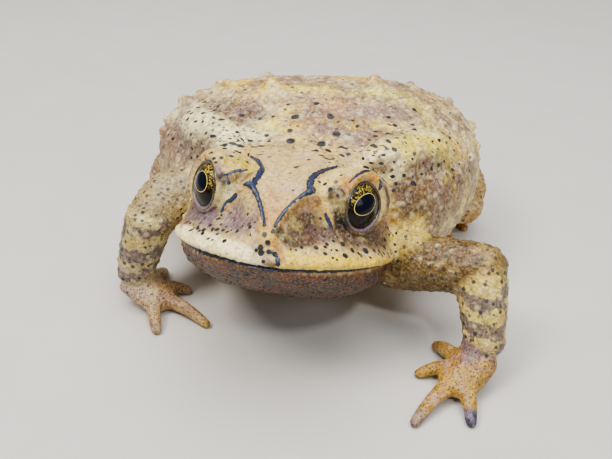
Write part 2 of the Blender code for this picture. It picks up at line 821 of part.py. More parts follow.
def cross(point, outward, obj_name, trunk):
    piece = copy_of(trunk, obj_name)
    return slice_off(piece, point, outward)


def main():
    trunk = join(torso_loft(), [head_loft()])
    add_lids(trunk)
    neck = of_head((0, NECK_Y, 0))
    backwards = head_direction((0, 1, 0)).normalized()
    torso = cross(neck + backwards * GAP / 2, -backwards, "torso", trunk)
    level_off(torso)
    skull = cross(neck - backwards * GAP / 2, backwards, "head", trunk)
    corner = of_head((HEAD_HALF_WIDTH, JAW_CORNER_Y, lip_height(JAW_CORNER_Y)))
    other_corner = of_head((-HEAD_HALF_WIDTH, JAW_CORNER_Y, lip_height(JAW_CORNER_Y)))
    front = of_head((0, 0, 0))
    upwards = (other_corner - front).cross(corner - front).normalized()
    upwards *= 1 if upwards.z > 0 else -1
    jaw = copy_of(skull, "lower_jaw")
    slice_off(jaw, front - upwards * GAP / 2, upwards)
    slice_off(skull, front + upwards * GAP / 2, -upwards)
    glands = parotoids(trunk, skull, torso)
    add_crests(skull)
    drums = tympana(skull)
    open_eyes(skull)
    open_nostrils(skull)
    eyes = eyeballs()
    bpy.data.objects.remove(trunk)
    add_back_warts(torso, glands)
    limbs = []
    for word in SIDES:
        limbs += arm(word, torso, [skull, jaw, *drums])
        limbs += leg(word, torso)
    finish([skull, jaw, torso, *glands], limbs, drums, eyes)


def finish(trunk_pieces, limbs, drums, eyes):
    """Paints each node and shades it smooth."""
    skin = material("toad_skin", (0.62, 0.50, 0.28), 0.62)
    limb_skin = material("limb_skin", (0.58, 0.44, 0.22), 0.62)
    drum_skin = material("eardrum_skin", (0.42, 0.30, 0.20), 0.5)
    eye = material("eye", (0.02, 0.018, 0.012), 0.08)
    for group, paint in ((trunk_pieces, skin), (limbs, limb_skin), (drums, drum_skin), (eyes, eye)):
        for obj in group:
            obj.data.materials.clear()
            obj.data.materials.append(paint)
            obj.data.shade_smooth()
            obj.data.set_sharp_from_angle(angle=math.radians(35))
            print(obj.name, "triangles", sum(len(p.vertices) - 2 for p in obj.data.polygons))


clear_scene()
PARTS = new_collection("asian_common_toad")
main()
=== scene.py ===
# %% [markdown]
# # An Asian common toad, sitting up
# This lesson dresses the plain solids of a life-size museum toad. The solids stay as they are: they carry
# the size, the pose and the weight. What is made here is what the eye sees: one skin without seams, warts
# and granules, wet eyes in fleshy lids, and the markings of the animal.
# Work is in millimetres wherever arrays of points are handled, and in metres once a mesh is made.

import json
import math
import random

import bmesh
import bpy
import numpy as np
from mathutils import Matrix, Vector
from mathutils.bvhtree import BVHTree
from mathutils.kdtree import KDTree

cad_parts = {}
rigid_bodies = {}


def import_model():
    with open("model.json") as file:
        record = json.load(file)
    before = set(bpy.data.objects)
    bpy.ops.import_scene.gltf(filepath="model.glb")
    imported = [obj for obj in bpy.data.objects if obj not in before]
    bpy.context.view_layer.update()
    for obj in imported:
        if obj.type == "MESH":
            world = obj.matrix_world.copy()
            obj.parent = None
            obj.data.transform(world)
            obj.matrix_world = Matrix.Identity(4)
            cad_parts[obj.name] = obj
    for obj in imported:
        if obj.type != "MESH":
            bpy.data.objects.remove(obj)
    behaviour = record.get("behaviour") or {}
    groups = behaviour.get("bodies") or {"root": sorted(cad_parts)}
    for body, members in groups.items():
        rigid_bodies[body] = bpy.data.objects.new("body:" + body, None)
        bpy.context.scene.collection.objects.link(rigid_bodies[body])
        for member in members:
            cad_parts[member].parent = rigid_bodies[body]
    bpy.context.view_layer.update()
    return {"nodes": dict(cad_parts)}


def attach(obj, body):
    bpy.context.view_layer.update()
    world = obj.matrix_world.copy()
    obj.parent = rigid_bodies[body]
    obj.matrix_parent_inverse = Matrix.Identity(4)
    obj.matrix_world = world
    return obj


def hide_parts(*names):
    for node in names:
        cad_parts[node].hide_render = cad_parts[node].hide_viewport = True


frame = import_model()
MM = 0.001
VOXEL = 0.36


def new_object(name, data):
    """Puts a mesh, a lamp or a camera into the scene."""
    made = bpy.data.objects.new(name, data)
    bpy.context.scene.collection.objects.link(made)
    return made


# %% [markdown]
# ## The camera
# The photograph looks down on the toad's face from in front and a little to its left. The camera's place was
# worked out from the sizes of the head and hands, so it is written down as three angles and a point.


# %% Place the camera
CAMERA_PLACE = (23.0, -135.1, 93.3)
CAMERA_AZIMUTH = 11.05
CAMERA_ELEVATION = 32.45
CAMERA_ROLL = 1.76
FOCAL_PIXELS = 700.0
FRAME_WIDTH = 612.0


def photo_camera():
    azimuth, elevation, roll = (
        math.radians(angle) for angle in (CAMERA_AZIMUTH, CAMERA_ELEVATION, CAMERA_ROLL)
    )
    back = Vector((
        math.sin(azimuth) * math.cos(elevation),
        -math.cos(azimuth) * math.cos(elevation),
        math.sin(elevation),
    ))
    level = Vector((math.cos(azimuth), math.sin(azimuth), 0.0))
    steep = back.cross(level)
    right = level * math.cos(roll) + steep * math.sin(roll)
    up = steep * math.cos(roll) - level * math.sin(roll)
    data = bpy.data.cameras.new("photo_camera")
    data.sensor_width = 36.0
    data.lens = data.sensor_width * FOCAL_PIXELS / FRAME_WIDTH
    data.clip_start = 0.005
    data.clip_end = 10.0
    camera = new_object("photo_camera", data)
    turn = Matrix((right, up, back)).transposed().to_4x4()
    camera.matrix_world = Matrix.Translation(Vector(CAMERA_PLACE) * MM) @ turn
    bpy.context.scene.camera = camera
    return camera


camera = photo_camera()
print("camera lens:", round(camera.data.lens, 1), "mm")

# %% [markdown]
# ## Materials, from small helpers
# A procedural material is a tree of nodes. Small helpers keep the trees readable: they add a node and set
# its sockets, blend two colours, make a mask or a noise, and read a value that is stored on the mesh.


# %% Node helpers
def tint(red, green, blue):
    """A colour as a screen shows it, 0 to 255, turned into the linear values that shaders use."""
    screen = np.array((red, green, blue)) / 255.0
    linear = np.where(screen <= 0.04045, screen / 12.92, ((screen + 0.055) / 1.055) ** 2.4)
    return tuple(float(v) for v in linear)


def set_inputs(tree, node, **sockets):
    """Links or sets inputs by name, or by number where the name is an underscore and a number."""
    for name, value in sockets.items():
        socket = node.inputs[int(name[1:])] if name[0] == "_" else node.inputs[name.replace("_", " ")]
        if isinstance(value, bpy.types.NodeSocket):
            tree.links.new(value, socket)
        else:
            socket.default_value = value


def add_node(tree, kind, settings=None, **sockets):
    made = tree.nodes.new(kind)
    for name, value in (settings or {}).items():
        setattr(made, name, value)
    set_inputs(tree, made, **sockets)
    return made


print("middle grey on a screen is", round(tint(128, 128, 128)[0], 3), "in linear light")


# %% Blends, masks and noises
def blend(tree, factor, first, second, mode="MIX"):
    """The first colour under the second, which covers it as far as the factor says."""
    under, over = (c if isinstance(c, bpy.types.NodeSocket) else (*c, 1.0) for c in (first, second))
    settings = {"data_type": "RGBA", "blend_type": mode}
    return add_node(tree, "ShaderNodeMix", settings, _0=factor, _6=under, _7=over).outputs[2]


def maths(tree, operation, first, second=0.5, third=0.5, clamp=False):
    made = add_node(
        tree, "ShaderNodeMath", {"operation": operation, "use_clamp": clamp}, _0=first, _1=second, _2=third
    )
    return made.outputs[0]


def ramp(tree, value, low, high):
    """0 below low, 1 above high, smooth between them. low may be the larger of the two."""
    made = add_node(
        tree, "ShaderNodeMapRange", {"interpolation_type": "SMOOTHSTEP"}, Value=value,
        From_Min=min(low, high), From_Max=max(low, high),
        To_Min=0.0 if low < high else 1.0, To_Max=1.0 if low < high else 0.0,
    )
    return made.outputs[0]


def product(tree, first, second):
    return maths(tree, "MULTIPLY", first, second)


def roughened(tree, value, grain, amount):
    """A value pushed up and down by a noise, so that an edge cut from it is ragged."""
    return maths(tree, "MULTIPLY_ADD", maths(tree, "SUBTRACT", grain, 0.5), amount, value)


def noise(tree, place, scale, detail=3.0, rough=0.5, warp=0.0):
    made = add_node(
        tree, "ShaderNodeTexNoise", Vector=place, Scale=scale, Detail=detail, Roughness=rough, Distortion=warp
    )
    return made.outputs["Fac"]


print("blends and masks ready")


# %% Values kept on the mesh, and new materials
def stored(tree, name, output="Fac"):
    """A value, arrow or colour kept on the mesh."""
    return add_node(tree, "ShaderNodeAttribute", {"attribute_name": name}).outputs[output]


def object_place(tree):
    return add_node(tree, "ShaderNodeTexCoord").outputs["Object"]


def new_material(name):
    made = bpy.data.materials.new(name)
    made.use_nodes = True
    tree = made.node_tree
    shader = tree.nodes["Principled BSDF"]
    return made, tree, shader


print("helpers ready")

# %% [markdown]
# ## A plain studio
# A pale floor and large soft lamps show the form without hard shadows, much as the bright shade of the
# photograph does. The floor is a stage: it is not part of the toad.


# %% Floor, lamps and sky
def studio_floor():
    shape = bmesh.new()
    bmesh.ops.create_grid(shape, x_segments=8, y_segments=8, size=0.9)
    mesh = bpy.data.meshes.new("studio_floor")
    shape.to_mesh(mesh)
    shape.free()
    floor = new_object("studio_floor", mesh)
    made, tree, shader = new_material("studio_floor")
    place = object_place(tree)
    grain = noise(tree, place, 60.0, 4.0)
    pale = blend(tree, grain, tint(186, 180, 172), tint(196, 190, 182))
    set_inputs(tree, shader, Base_Color=pale, Roughness=0.85)
    mesh.materials.append(made)


def soft_lamp(name, place, target, size, power, colour):
    data = bpy.data.lights.new(name, "AREA")
    data.shape = "RECTANGLE"
    data.size, data.size_y = size
    data.energy = power
    data.color = colour
    lamp = new_object(name, data)
    lamp.location = place
    lamp.rotation_euler = (Vector(target) - Vector(place)).to_track_quat("-Z", "Y").to_euler()


studio_floor()
soft_lamp("sky_lamp", (0.0, 0.04, 0.62), (0, 0, 0.02), (0.60, 0.60), 8.0, (0.96, 0.98, 1.0))
soft_lamp("key_lamp", (-0.22, -0.20, 0.46), (0, -0.02, 0.02), (0.16, 0.16), 2.6, (1.0, 0.97, 0.92))
soft_lamp("fill_lamp", (0.42, -0.26, 0.30), (0, 0, 0.02), (0.20, 0.20), 0.7, (0.95, 0.97, 1.0))
soft_lamp("sparkle_lamp", (0.15, -0.29, 0.42), (0, -0.03, 0.03), (0.045, 0.045), 0.9, (0.94, 0.97, 1.0))
world = bpy.data.worlds.new("studio_sky")
world.use_nodes = True
set_inputs(world.node_tree, world.node_tree.nodes["Background"], Color=(0.82, 0.87, 0.95, 1.0), Strength=0.22)
bpy.context.scene.world = world

# %% [markdown]
# ## The head's own frame
# The head is turned, tipped and rolled a little against the body. Every landmark on it is easier to give in
# its own frame: the origin is the middle of the upper lip, y runs back along the jaw and z runs up.

# %% Head frame and landmarks
HEAD_PLACE = np.array((-0.9, -47.0, 28.3))
HEAD_TURN = np.array(
    Matrix.Rotation(math.radians(2.9), 3, "Z")
    @ Matrix.Rotation(-math.radians(16.6), 3, "X")
    @ Matrix.Rotation(math.radians(2.2), 3, "Y")
)
SIDES = {"left": 1, "right": -1}
EYE_CENTRE = np.array((11.0, 15.5, 8.1))
EYE_RADIUS = 5.6
EYE_OUTWARD = np.array((0.710, -0.680, 0.165))
OPENING = (math.tan(math.radians(47.5)), math.tan(math.radians(42.0)))
OPENING_TILT = math.radians(50.0)
LIP_DROP = 3.2
JAW_CORNER_Y = 23.0


def to_head(points):
    return (np.asarray(points) - HEAD_PLACE) @ HEAD_TURN


def from_head(points, side=1):
    return (np.asarray(points) * (side, 1, 1)) @ HEAD_TURN.T + HEAD_PLACE


def lip_height(y):
    return -LIP_DROP * (np.maximum(y, 0.0) / JAW_CORNER_Y) ** 1.3


def eye_frame(side):
    """The eye's centre, and a turn whose rows run along the opening, across it and outwards."""
    outward = (EYE_OUTWARD * (side, 1, 1)) @ HEAD_TURN.T
    outward /= np.linalg.norm(outward)
    level = np.cross((0, 0, 1), outward)
    level /= np.linalg.norm(level)
    steep = np.cross(outward, level)
    angle = OPENING_TILT * side
    along = level * math.cos(angle) + steep * math.sin(angle)
    across = steep * math.cos(angle) - level * math.sin(angle)
    return from_head(EYE_CENTRE, side), np.array((along, across, outward))


print("left eye at", np.round(eye_frame(1)[0], 1))

# %% [markdown]
# ## One skin over all the flesh
# The solids are separate pieces with hair-wide gaps. A real toad has one skin, so copies of the flesh pieces
# are swollen by a fraction of a millimetre until they overlap, and a voxel remesh then wraps one surface
# round the lot. The copies are welded first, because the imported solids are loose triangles.

# %% Wrap one surface round copies of the solids
SWELL = 0.2
FLESH = sorted(name for name in frame["nodes"] if not name.startswith("eye_"))


def welded_copy(name, swell):
    shape = bmesh.new()
    shape.from_mesh(frame["nodes"][name].data)
    bmesh.ops.remove_doubles(shape, verts=shape.verts, dist=0.02 * MM)
    shape.normal_update()
    points = np.array([v.co + v.normal * (swell * MM) for v in shape.verts]) / MM
    faces = [[v.index for v in face.verts] for face in shape.faces]
    shape.free()
    return points, faces


def make_mesh(name, points, faces):
    mesh = bpy.data.meshes.new(name)
    mesh.from_pydata((np.asarray(points) * MM).tolist(), [], faces)
    mesh.update()
    return mesh


def with_modifier(obj, kind, **settings):
    """Adds a modifier, reads the result and leaves the object with the plain mesh."""
    modifier = obj.modifiers.new(kind.lower(), kind)
    for key, value in settings.items():
        setattr(modifier, key, value)
    graph = bpy.context.evaluated_depsgraph_get()
    mesh = bpy.data.meshes.new_from_object(obj.evaluated_get(graph))
    obj.modifiers.clear()
    old = obj.data
    obj.data = mesh
    bpy.data.meshes.remove(old)
    return obj


def largest_shell(mesh):
    shape = bmesh.new()
    shape.from_mesh(mesh)
    left = set(shape.verts)
    shells = []
    while left:
        seed = left.pop()
        shell, edge = [seed], [seed]
        while edge:
            spot = edge.pop()
            for link in spot.link_edges:
                other = link.other_vert(spot)
                if other in left:
                    left.discard(other)
                    shell.append(other)
                    edge.append(other)
        shells.append(shell)
    shells.sort(key=len)
    for shell in shells[:-1]:
        bmesh.ops.delete(shape, geom=shell, context="VERTS")
    shape.to_mesh(mesh)
    shape.free()
    return len(shells)


points, faces, owner = [], [], []
for name in FLESH + ["eye_left", "eye_right"]:
    more, polygons = welded_copy(name, SWELL if name in FLESH else 0.35)
    faces += [[i + len(points) for i in polygon] for polygon in polygons]
    owner += [name] * len(polygons)
    points += more.tolist()
solid_tree = BVHTree.FromPolygons(points, faces)
skin = new_object("toad_skin", make_mesh("toad_skin", points, faces))
with_modifier(skin, "REMESH", mode="VOXEL", voxel_size=VOXEL * MM)
shells = largest_shell(skin.data)
print("skin vertices:", len(skin.data.vertices), "shells found:", shells)


# %% [markdown]
# ## Reading and writing the mesh as arrays
# Tens of thousands of points are too many to visit one by one, so the skin is shaped with arrays: every
# point is moved at once by a rule. Relaxing is one such rule. It moves each point towards the middle of its
# neighbours and then a little back, which takes out the flat facets of the solids without shrinking them.


# %% Array helpers
def read_points(mesh):
    flat = np.zeros(len(mesh.vertices) * 3, np.float32)
    mesh.vertices.foreach_get("co", flat)
    return flat.reshape(-1, 3).astype(float) / MM


def write_points(mesh, moved):
    mesh.vertices.foreach_set("co", (moved * MM).astype(np.float32).ravel())
    mesh.update()


def read_edges(mesh):
    flat = np.zeros(len(mesh.edges) * 2, np.int32)
    mesh.edges.foreach_get("vertices", flat)
    return flat.reshape(-1, 2)


def read_normals(mesh):
    flat = np.zeros(len(mesh.vertices) * 3, np.float32)
    mesh.vertices.foreach_get("normal", flat)
    return flat.reshape(-1, 3).astype(float)


def neighbour_mean(values, edges):
    count = np.bincount(edges.ravel(), minlength=len(values)).astype(float)
    total = np.zeros_like(values)
    for k in range(values.shape[1]):
        total[:, k] = np.bincount(edges[:, 0], values[edges[:, 1], k], len(values))
        total[:, k] += np.bincount(edges[:, 1], values[edges[:, 0], k], len(values))
    return total / np.maximum(count, 1)[:, None]


def relax(values, edges, rounds, weight=1.0, back=0.53):
    for _ in range(rounds):
        values = values + 0.5 * weight * (neighbour_mean(values, edges) - values)
        values = values - back * weight * (neighbour_mean(values, edges) - values)
    return values


print("relaxing ready")


# %% Soft steps and distances
def step(value, low, high):
    t = np.clip((value - low) / (high - low), 0, 1)
    return t * t * (3 - 2 * t)


def bell(gap, width):
    return np.exp(-((gap / width) ** 2))


def distance(places, place):
    return np.linalg.norm(places - place, axis=1)


def folded(local):
    """Both halves of the head laid on the left one, so that one landmark serves both sides."""
    return np.column_stack([np.abs(local[:, 0]), local[:, 1:]])


def triangles(mesh):
    return sum(len(polygon.vertices) - 2 for polygon in mesh.polygons)


def shade_smooth(mesh):
    mesh.polygons.foreach_set("use_smooth", [True] * len(mesh.polygons))


print("a soft step halfway:", step(0.5, 0, 1))

# %% Which solid each place belongs to
PARTS = {
    "head": ("head", "tympanum_left", "tympanum_right", "eye_left", "eye_right"),
    "jaw": ("lower_jaw",),
    "trunk": ("torso",),
    "gland": ("parotoid_left", "parotoid_right"),
    "arm": ("upper_arm_left", "upper_arm_right"),
    "forearm": ("forearm_left", "forearm_right"),
    "hand": ("hand_left", "hand_right"),
    "leg": ("thigh_left", "thigh_right", "shank_left", "shank_right"),
    "foot": ("tarsus_left", "tarsus_right", "foot_left", "foot_right"),
}
PART_OF = {node: k for k, nodes in enumerate(PARTS.values()) for node in nodes}


def part_weights(places, edges, softness):
    """How much each point belongs to each part of the body, blurred across the borders."""
    weights = np.zeros((len(places), len(PARTS)))
    for i, place in enumerate(places):
        weights[i, PART_OF[owner[solid_tree.find_nearest(place)[2]]]] = 1.0
    if softness:
        weights = relax(weights, edges, softness, back=0.0)
    return dict(zip(PARTS, weights.T))


print("parts:", ", ".join(PARTS))

# %% Relax the skin, most of all where solids meet
flesh = read_points(skin.data)
edges = read_edges(skin.data)
belongs = part_weights(flesh, edges, 6)
fine = np.clip(belongs["hand"] + belongs["foot"], 0, 1)
medium = np.clip(belongs["head"] + belongs["jaw"] + 0.4 * belongs["forearm"] + 0.6 * belongs["gland"], 0, 1)
rounds = (0.36 / VOXEL) ** 2
flesh = relax(flesh, edges, int(18 * rounds), 1.0)
flesh = relax(flesh, edges, int(26 * rounds), (1 - fine)[:, None])
flesh = relax(flesh, edges, int(100 * rounds), (1 - np.clip(fine + 0.75 * medium, 0, 1))[:, None])
wide = relax(np.column_stack(list(belongs.values())), edges, int(44 * rounds), back=0.0)
face = (belongs["head"] + belongs["jaw"]) * step(to_head(flesh)[:, 1], 27.0, 23.0)
joints = np.clip(3.0 * (1 - (wide**2).sum(axis=1)), 0, 1) * np.clip(1 - 1.6 * face, 0, 1)
print("share of the skin near a joint:", round(float((joints > 0.5).mean()), 2))


# %% Fill the creases and lift the muscles
def fill_creases(values, amount, rounds):
    """Pulls the skin level where it dips between two parts of the body, and leaves the rises alone."""
    for turn in range(rounds):
        if turn % 8 == 0:
            write_points(skin.data, values)
            normals = read_normals(skin.data)
        pull = neighbour_mean(values, edges) - values
        rise = np.clip(np.sum(pull * normals, axis=1), 0, 0.3)
        values = values + normals * (0.9 * rise * amount)[:, None]
    return values


MUSCLES = (
    # where the flesh is fuller than the plain solids: place over the floor, how far, how wide
    ((38.0, -34.6, 5.4), 1.1, 3.0), ((34.0, -34.0, 5.6), 0.7, 2.6), ((-36.0, -29.5, 5.4), 0.8, 2.8),
    ((-32.0, -25.0, 5.6), 0.5, 2.6), ((32.6, -41.0, 2.6), 0.5, 2.4),
    ((36.6, -36.6, 5.6), 0.8, 2.2), ((39.4, -35.0, 7.8), 1.5, 2.4),
    ((33.6, -35.4, 5.6), 0.5, 2.0),
)
for place, amount, width in MUSCLES:
    write_points(skin.data, flesh)
    pushed = amount * bell(distance(flesh, place), width) * step(flesh[:, 2], 0.6, 2.6)
    flesh = flesh + read_normals(skin.data) * pushed[:, None]
flesh = relax(flesh, edges, int(60 * rounds), joints[:, None])
flesh = fill_creases(flesh, joints, int(120 * rounds))
flesh = relax(flesh, edges, int(50 * rounds), joints[:, None])
print("creases filled")

# %% Fold the skin at the wrists
WRIST_HEIGHT = 7.4
WRIST_FOLD = ((34.0, -35.2, 7.5), (35.6, -36.0, 7.6), (37.4, -36.1, 7.6), (39.2, -35.5, 7.5))
for lift, width in ((0.7, 1.4), (0.4, 1.2), (0.0, 1.0)):
    fold = np.min([distance(flesh, place) for place in WRIST_FOLD], axis=0)
    write_points(skin.data, flesh)
    flesh = flesh + read_normals(skin.data) * (lift * bell(fold, width))[:, None]
    flesh = relax(flesh, edges, int(90 * rounds), bell(fold, 3.0)[:, None], back=0.3)
wrists = bell(flesh[:, 2] - WRIST_HEIGHT, 3.4) * step(flesh[:, 2], 2.0, 5.0)
wrists = wrists * np.clip(belongs["hand"] + belongs["forearm"], 0, 1)
flesh = relax(flesh, edges, int(70 * rounds), wrists[:, None], back=0.42)
write_points(skin.data, flesh)
flesh = flesh - read_normals(skin.data) * SWELL
print("relaxed; height in mm:", round(float(np.ptp(flesh[:, 2])), 1))

# %% [markdown]
# ## Lines and places on the head
# The bony ridges and the inked lines of the face run along curves. Each is a short list of knots in the
# head's frame, and a smooth curve is read through them. The gap from every skin point to such a curve then
# serves twice: it raises the ridge now, and it draws the dark line later.


# %% Curves through knots
def spline(knots, values, at):
    """Smooth curve through (knots, values), the same rule that shaped the solids."""
    knots = np.asarray(knots, float)
    values = np.asarray(values, float)
    slopes = np.gradient(values, knots)
    place = np.clip(at, knots[0], knots[-1])
    i = np.clip(np.searchsorted(knots, place) - 1, 0, len(knots) - 2)
    width = knots[i + 1] - knots[i]
    t = (place - knots[i]) / width
    return (
        (2 * t**3 - 3 * t**2 + 1) * values[i]
        + (t**3 - 2 * t**2 + t) * width * slopes[i]
        + (3 * t**2 - 2 * t**3) * values[i + 1]
        + (t**3 - t**2) * width * slopes[i + 1]
    )


def curve_through(knots, count=14):
    knots = np.asarray(knots, float)
    read = np.linspace(0, len(knots) - 1, count)
    return np.stack([spline(np.arange(len(knots)), column, read) for column in knots.T], axis=1)


def gap_to_curve(places, curve):
    """From each place to the nearest point of a curve whose 4th column is a half width. The gap comes back
    as a vector in half widths, so its length is 1 at the line's edge."""
    best = np.full(len(places), 1e9)
    gaps = np.full((len(places), 3), 1e3)
    for a, b in zip(curve[:-1], curve[1:]):
        along = b[:3] - a[:3]
        t = np.clip((places - a[:3]) @ along / max(along @ along, 1e-9), 0, 1)
        width = a[3] + (b[3] - a[3]) * t
        gap = (a[:3] + t[:, None] * along - places) / width[:, None]
        size = np.linalg.norm(gap, axis=1)
        near = size < best
        best[near] = size[near]
        gaps[near] = gap[near]
    return gaps, best


def gap_to_spots(places, spots):
    """From each place to the nearest spot, in that spot's own radii. A spot may also have a direction and a
    stretch along it."""
    tree = KDTree(len(spots))
    for i, spot in enumerate(spots):
        tree.insert(spot[:3], i)
    tree.balance()
    nearest = np.array([tree.find(place)[1] for place in places])
    mine = np.asarray(spots, float)[nearest]
    gaps = (mine[:, :3] - places) / mine[:, 3:4]
    if mine.shape[1] > 4:
        slide = np.sum(gaps * mine[:, 4:7], axis=1, keepdims=True)
        gaps = gaps - mine[:, 4:7] * slide * (1 - 1 / mine[:, 7:8])
    return gaps, np.linalg.norm(gaps, axis=1), nearest


RIDGES = (
    ((1.1, 1.3, 6.5, 1), (1.7, 2.7, 7.9, 1), (3.0, 5.2, 9.5, 1), (4.2, 6.9, 10.7, 1), (5.1, 8.1, 11.3, 1)),
    ((5.0, 8.2, 11.5, 1), (4.3, 12.0, 12.5, 1), (5.0, 15.0, 13.2, 1), (6.2, 18.2, 13.5, 1),
        (8.4, 22, 13.5, 1)),
    ((5.1, 8.1, 11.3, 1), (7.4, 8.4, 8.8, 1), (8.6, 8.4, 7.1, 1), (9.7, 8.2, 5.5, 1)),
    ((8.4, 22.0, 13.5, 1), (12.5, 24.0, 13.0, 1), (16.4, 24.0, 10.4, 1), (18.2, 23.0, 6.6, 1)),
)
ridge_curves = [
    np.column_stack([from_head(curve_through(ridge)[:, :3], side), np.full(14, 0.6)])
    for ridge in RIDGES
    for side in SIDES.values()
]
print("ridges:", len(ridge_curves))

# %% [markdown]
# ## Sculpting the head
# The voxel surface has closed the eye sockets and the mouth and blunted every edge. Rules in the head's
# frame bring them back: the skin dives under the eyeball inside the opening and swells into a thick lid
# round it, a groove runs along the lips, the nostrils are pits, and the eardrum is a shallow disc in a ring.

# %% Sculpt the head
NOSTRIL_PLACE = (1.9, 0.6, 5.3)
TYMPANUM_PLACE = (19.0, 25.8, 4.0)
TYMPANUM_RADIUS = 2.2
HOLLOWS = (
    ((7.0, 5.8, 6.0), 0.75, 3.0), ((8.8, 9.2, 9.6), 0.45, 1.5), ((0.0, 15.0, 12.9), 0.35, 4.0),
    ((17.6, 20.0, 7.6), -1.5, 3.0), ((15.4, 19.6, 11.0), -1.5, 2.8), ((12.4, 21.4, 13.0), -0.8, 2.6),
    ((19.0, 22.0, 4.0), -0.9, 2.8),
)


def surface_push(places, amount):
    """Moves every point along the skin's own normal by its amount."""
    write_points(skin.data, places)
    return places + read_normals(skin.data) * amount[:, None]


def shape_lids(places):
    for side in SIDES.values():
        centre, axes = eye_frame(side)
        local = (places - centre) @ axes.T
        reach = np.linalg.norm(local, axis=1)
        ahead = np.maximum(local[:, 2], 0.05)
        rim = np.hypot(local[:, 0] / ahead / OPENING[0], local[:, 1] / ahead / OPENING[1])
        rim = np.where(local[:, 2] > 0.05, rim, 9.0)
        brow = (np.array((0.25, 0.45, 0.86)) * (side, 1, 1)) @ HEAD_TURN.T
        upper = step((places - centre) @ brow / reach, -0.15, 0.6)
        lid = EYE_RADIUS + 0.6 + 0.35 * upper + (0.25 + 0.2 * upper) * bell(rim - 1.16, 0.12)
        lid = lid + 0.8 * upper * step(rim, 1.1, 1.6)
        wall = step(rim, 0.92, 1.06)
        target = (EYE_RADIUS - 1.0) * (1 - wall) + lid * wall
        target = np.where(rim > 1.3, np.maximum(target, reach * upper + target * (1 - upper)), target)
        fade = step(rim, 2.0 + 1.2 * upper, 1.35 + 0.3 * upper)
        strength = step(reach, EYE_RADIUS + 3.4, EYE_RADIUS + 2.0) * fade
        places = places + (places - centre) * ((target - reach) / reach * strength)[:, None]
    return places


def head_relief(places):
    """How far the skin of the head stands out or in, before the warts."""
    local = to_head(places)
    y, z = local[:, 1], local[:, 2]
    amount = np.zeros(len(places))
    lip = z - lip_height(y)
    mouth = step(y, 25.0, 22.0)
    amount += mouth * (0.25 * bell(lip - 0.95, 0.7) + 0.16 * bell(lip + 0.95, 0.55) - 0.6 * bell(lip, 0.26))
    left = folded(local)
    for centre, depth, width in HOLLOWS:
        amount -= depth * bell(distance(left, centre), width)
    nostril = distance(left, NOSTRIL_PLACE)
    amount += 0.22 * bell(nostril - 0.9, 0.35) - 0.8 * bell(nostril, 0.42)
    drum = distance(left, TYMPANUM_PLACE)
    amount += 0.22 * bell(drum - TYMPANUM_RADIUS, 0.3) - 0.2 * step(drum, TYMPANUM_RADIUS, 1.8)
    return amount * np.clip(belongs["head"] + belongs["jaw"], 0, 1)


flesh = surface_push(flesh, head_relief(flesh))
ridge_gap = np.min([gap_to_curve(flesh, curve)[1] for curve in ridge_curves], axis=0)
flesh = surface_push(flesh, 0.28 * bell(ridge_gap, 0.95))
flesh = shape_lids(flesh)
print("head relief done")

# %% [markdown]
# ## The trunk's axis and the big warts
# The solids carry two rows of large warts down the back and more out to the flanks. They were laid out by a
# rule along the trunk's bent axis, so the same rule and the same seed find them again here, and the blurred
# bumps are raised afresh as round domes.

# %% Large warts, where the solids have them
BODY_BEND = math.radians(15.0)
BEND_START, BEND_END = -22.0, 24.0
TORSO_Y = (-22, -18, -13, -8, 0, 6, 12, 20, 28, 36, 43, 48, 50.5)
TORSO_HALF_WIDTH = (17.0, 23.0, 28.0, 31.0, 35.0, 36.5, 37.0, 35.5, 31.0, 24.0, 16.0, 9.5, 4.5)
TORSO_TOP = (27.0, 32.0, 34.4, 35.8, 37.3, 38.2, 38.0, 36.0, 32.0, 27.0, 21.5, 16.5, 13.0)
TORSO_MIDDLE = (18.0, 19.0, 20.0, 20.0, 19.5, 19.0, 18.5, 17.5, 16.0, 14.5, 12.5, 11.5, 11.0)
UPPER_ROUNDNESS = 2.65
WART_LANES = ((12.0, 1.9), (31.0, 1.5), (50.0, 1.7), (70.0, 1.5))
WART_ROWS = 8
WART_SEED = 11


def on_body(x, along):
    radius = (BEND_END - BEND_START) / BODY_BEND
    within = min(max(along - BEND_START, 0.0), BEND_END - BEND_START)
    heading = within / radius
    beyond = along - BEND_START - within
    return (
        x * math.cos(heading) - radius * (1 - math.cos(heading)) - beyond * math.sin(heading),
        x * math.sin(heading) + radius * math.sin(heading) + beyond * math.cos(heading) + BEND_START,
    )


def torso_point(along, angle):
    turn = math.radians(angle)
    power = 2 / UPPER_ROUNDNESS
    width, top, middle = (
        float(spline(TORSO_Y, table, along)) for table in (TORSO_HALF_WIDTH, TORSO_TOP, TORSO_MIDDLE)
    )
    x = width * math.copysign(abs(math.sin(turn)) ** power, turn)
    return (*on_body(x, along), middle + (top - middle) * abs(math.cos(turn)) ** power)


def large_warts():
    """Place and radius of each large wart: the rule and the random draws of the solids."""
    draw = random.Random(WART_SEED)
    spots = []
    for row in range(WART_ROWS):
        for side in SIDES.values():
            for lane, (angle, size) in enumerate(WART_LANES):
                along = -12.0 + 6.8 * row + draw.uniform(-1.3, 1.3) + 3.4 * (lane % 2)
                turn = angle + draw.uniform(-4.0, 4.0)
                spots.append((*torso_point(along, turn * side), size * draw.uniform(0.75, 1.15)))
    return [spot for spot in spots if to_head(spot[:3])[1] > 33.0]


big = large_warts()
print("large warts:", len(big))

# %% [markdown]
# ## Small warts and granules
# Between the large warts the skin is pebbled all over. Places are drawn at random from the skin's own points
# and kept only where they are far enough from the ones before, which gives the even spacing of real
# granules. Each wart has a round dome, and its place is kept, because its tip is coloured later.


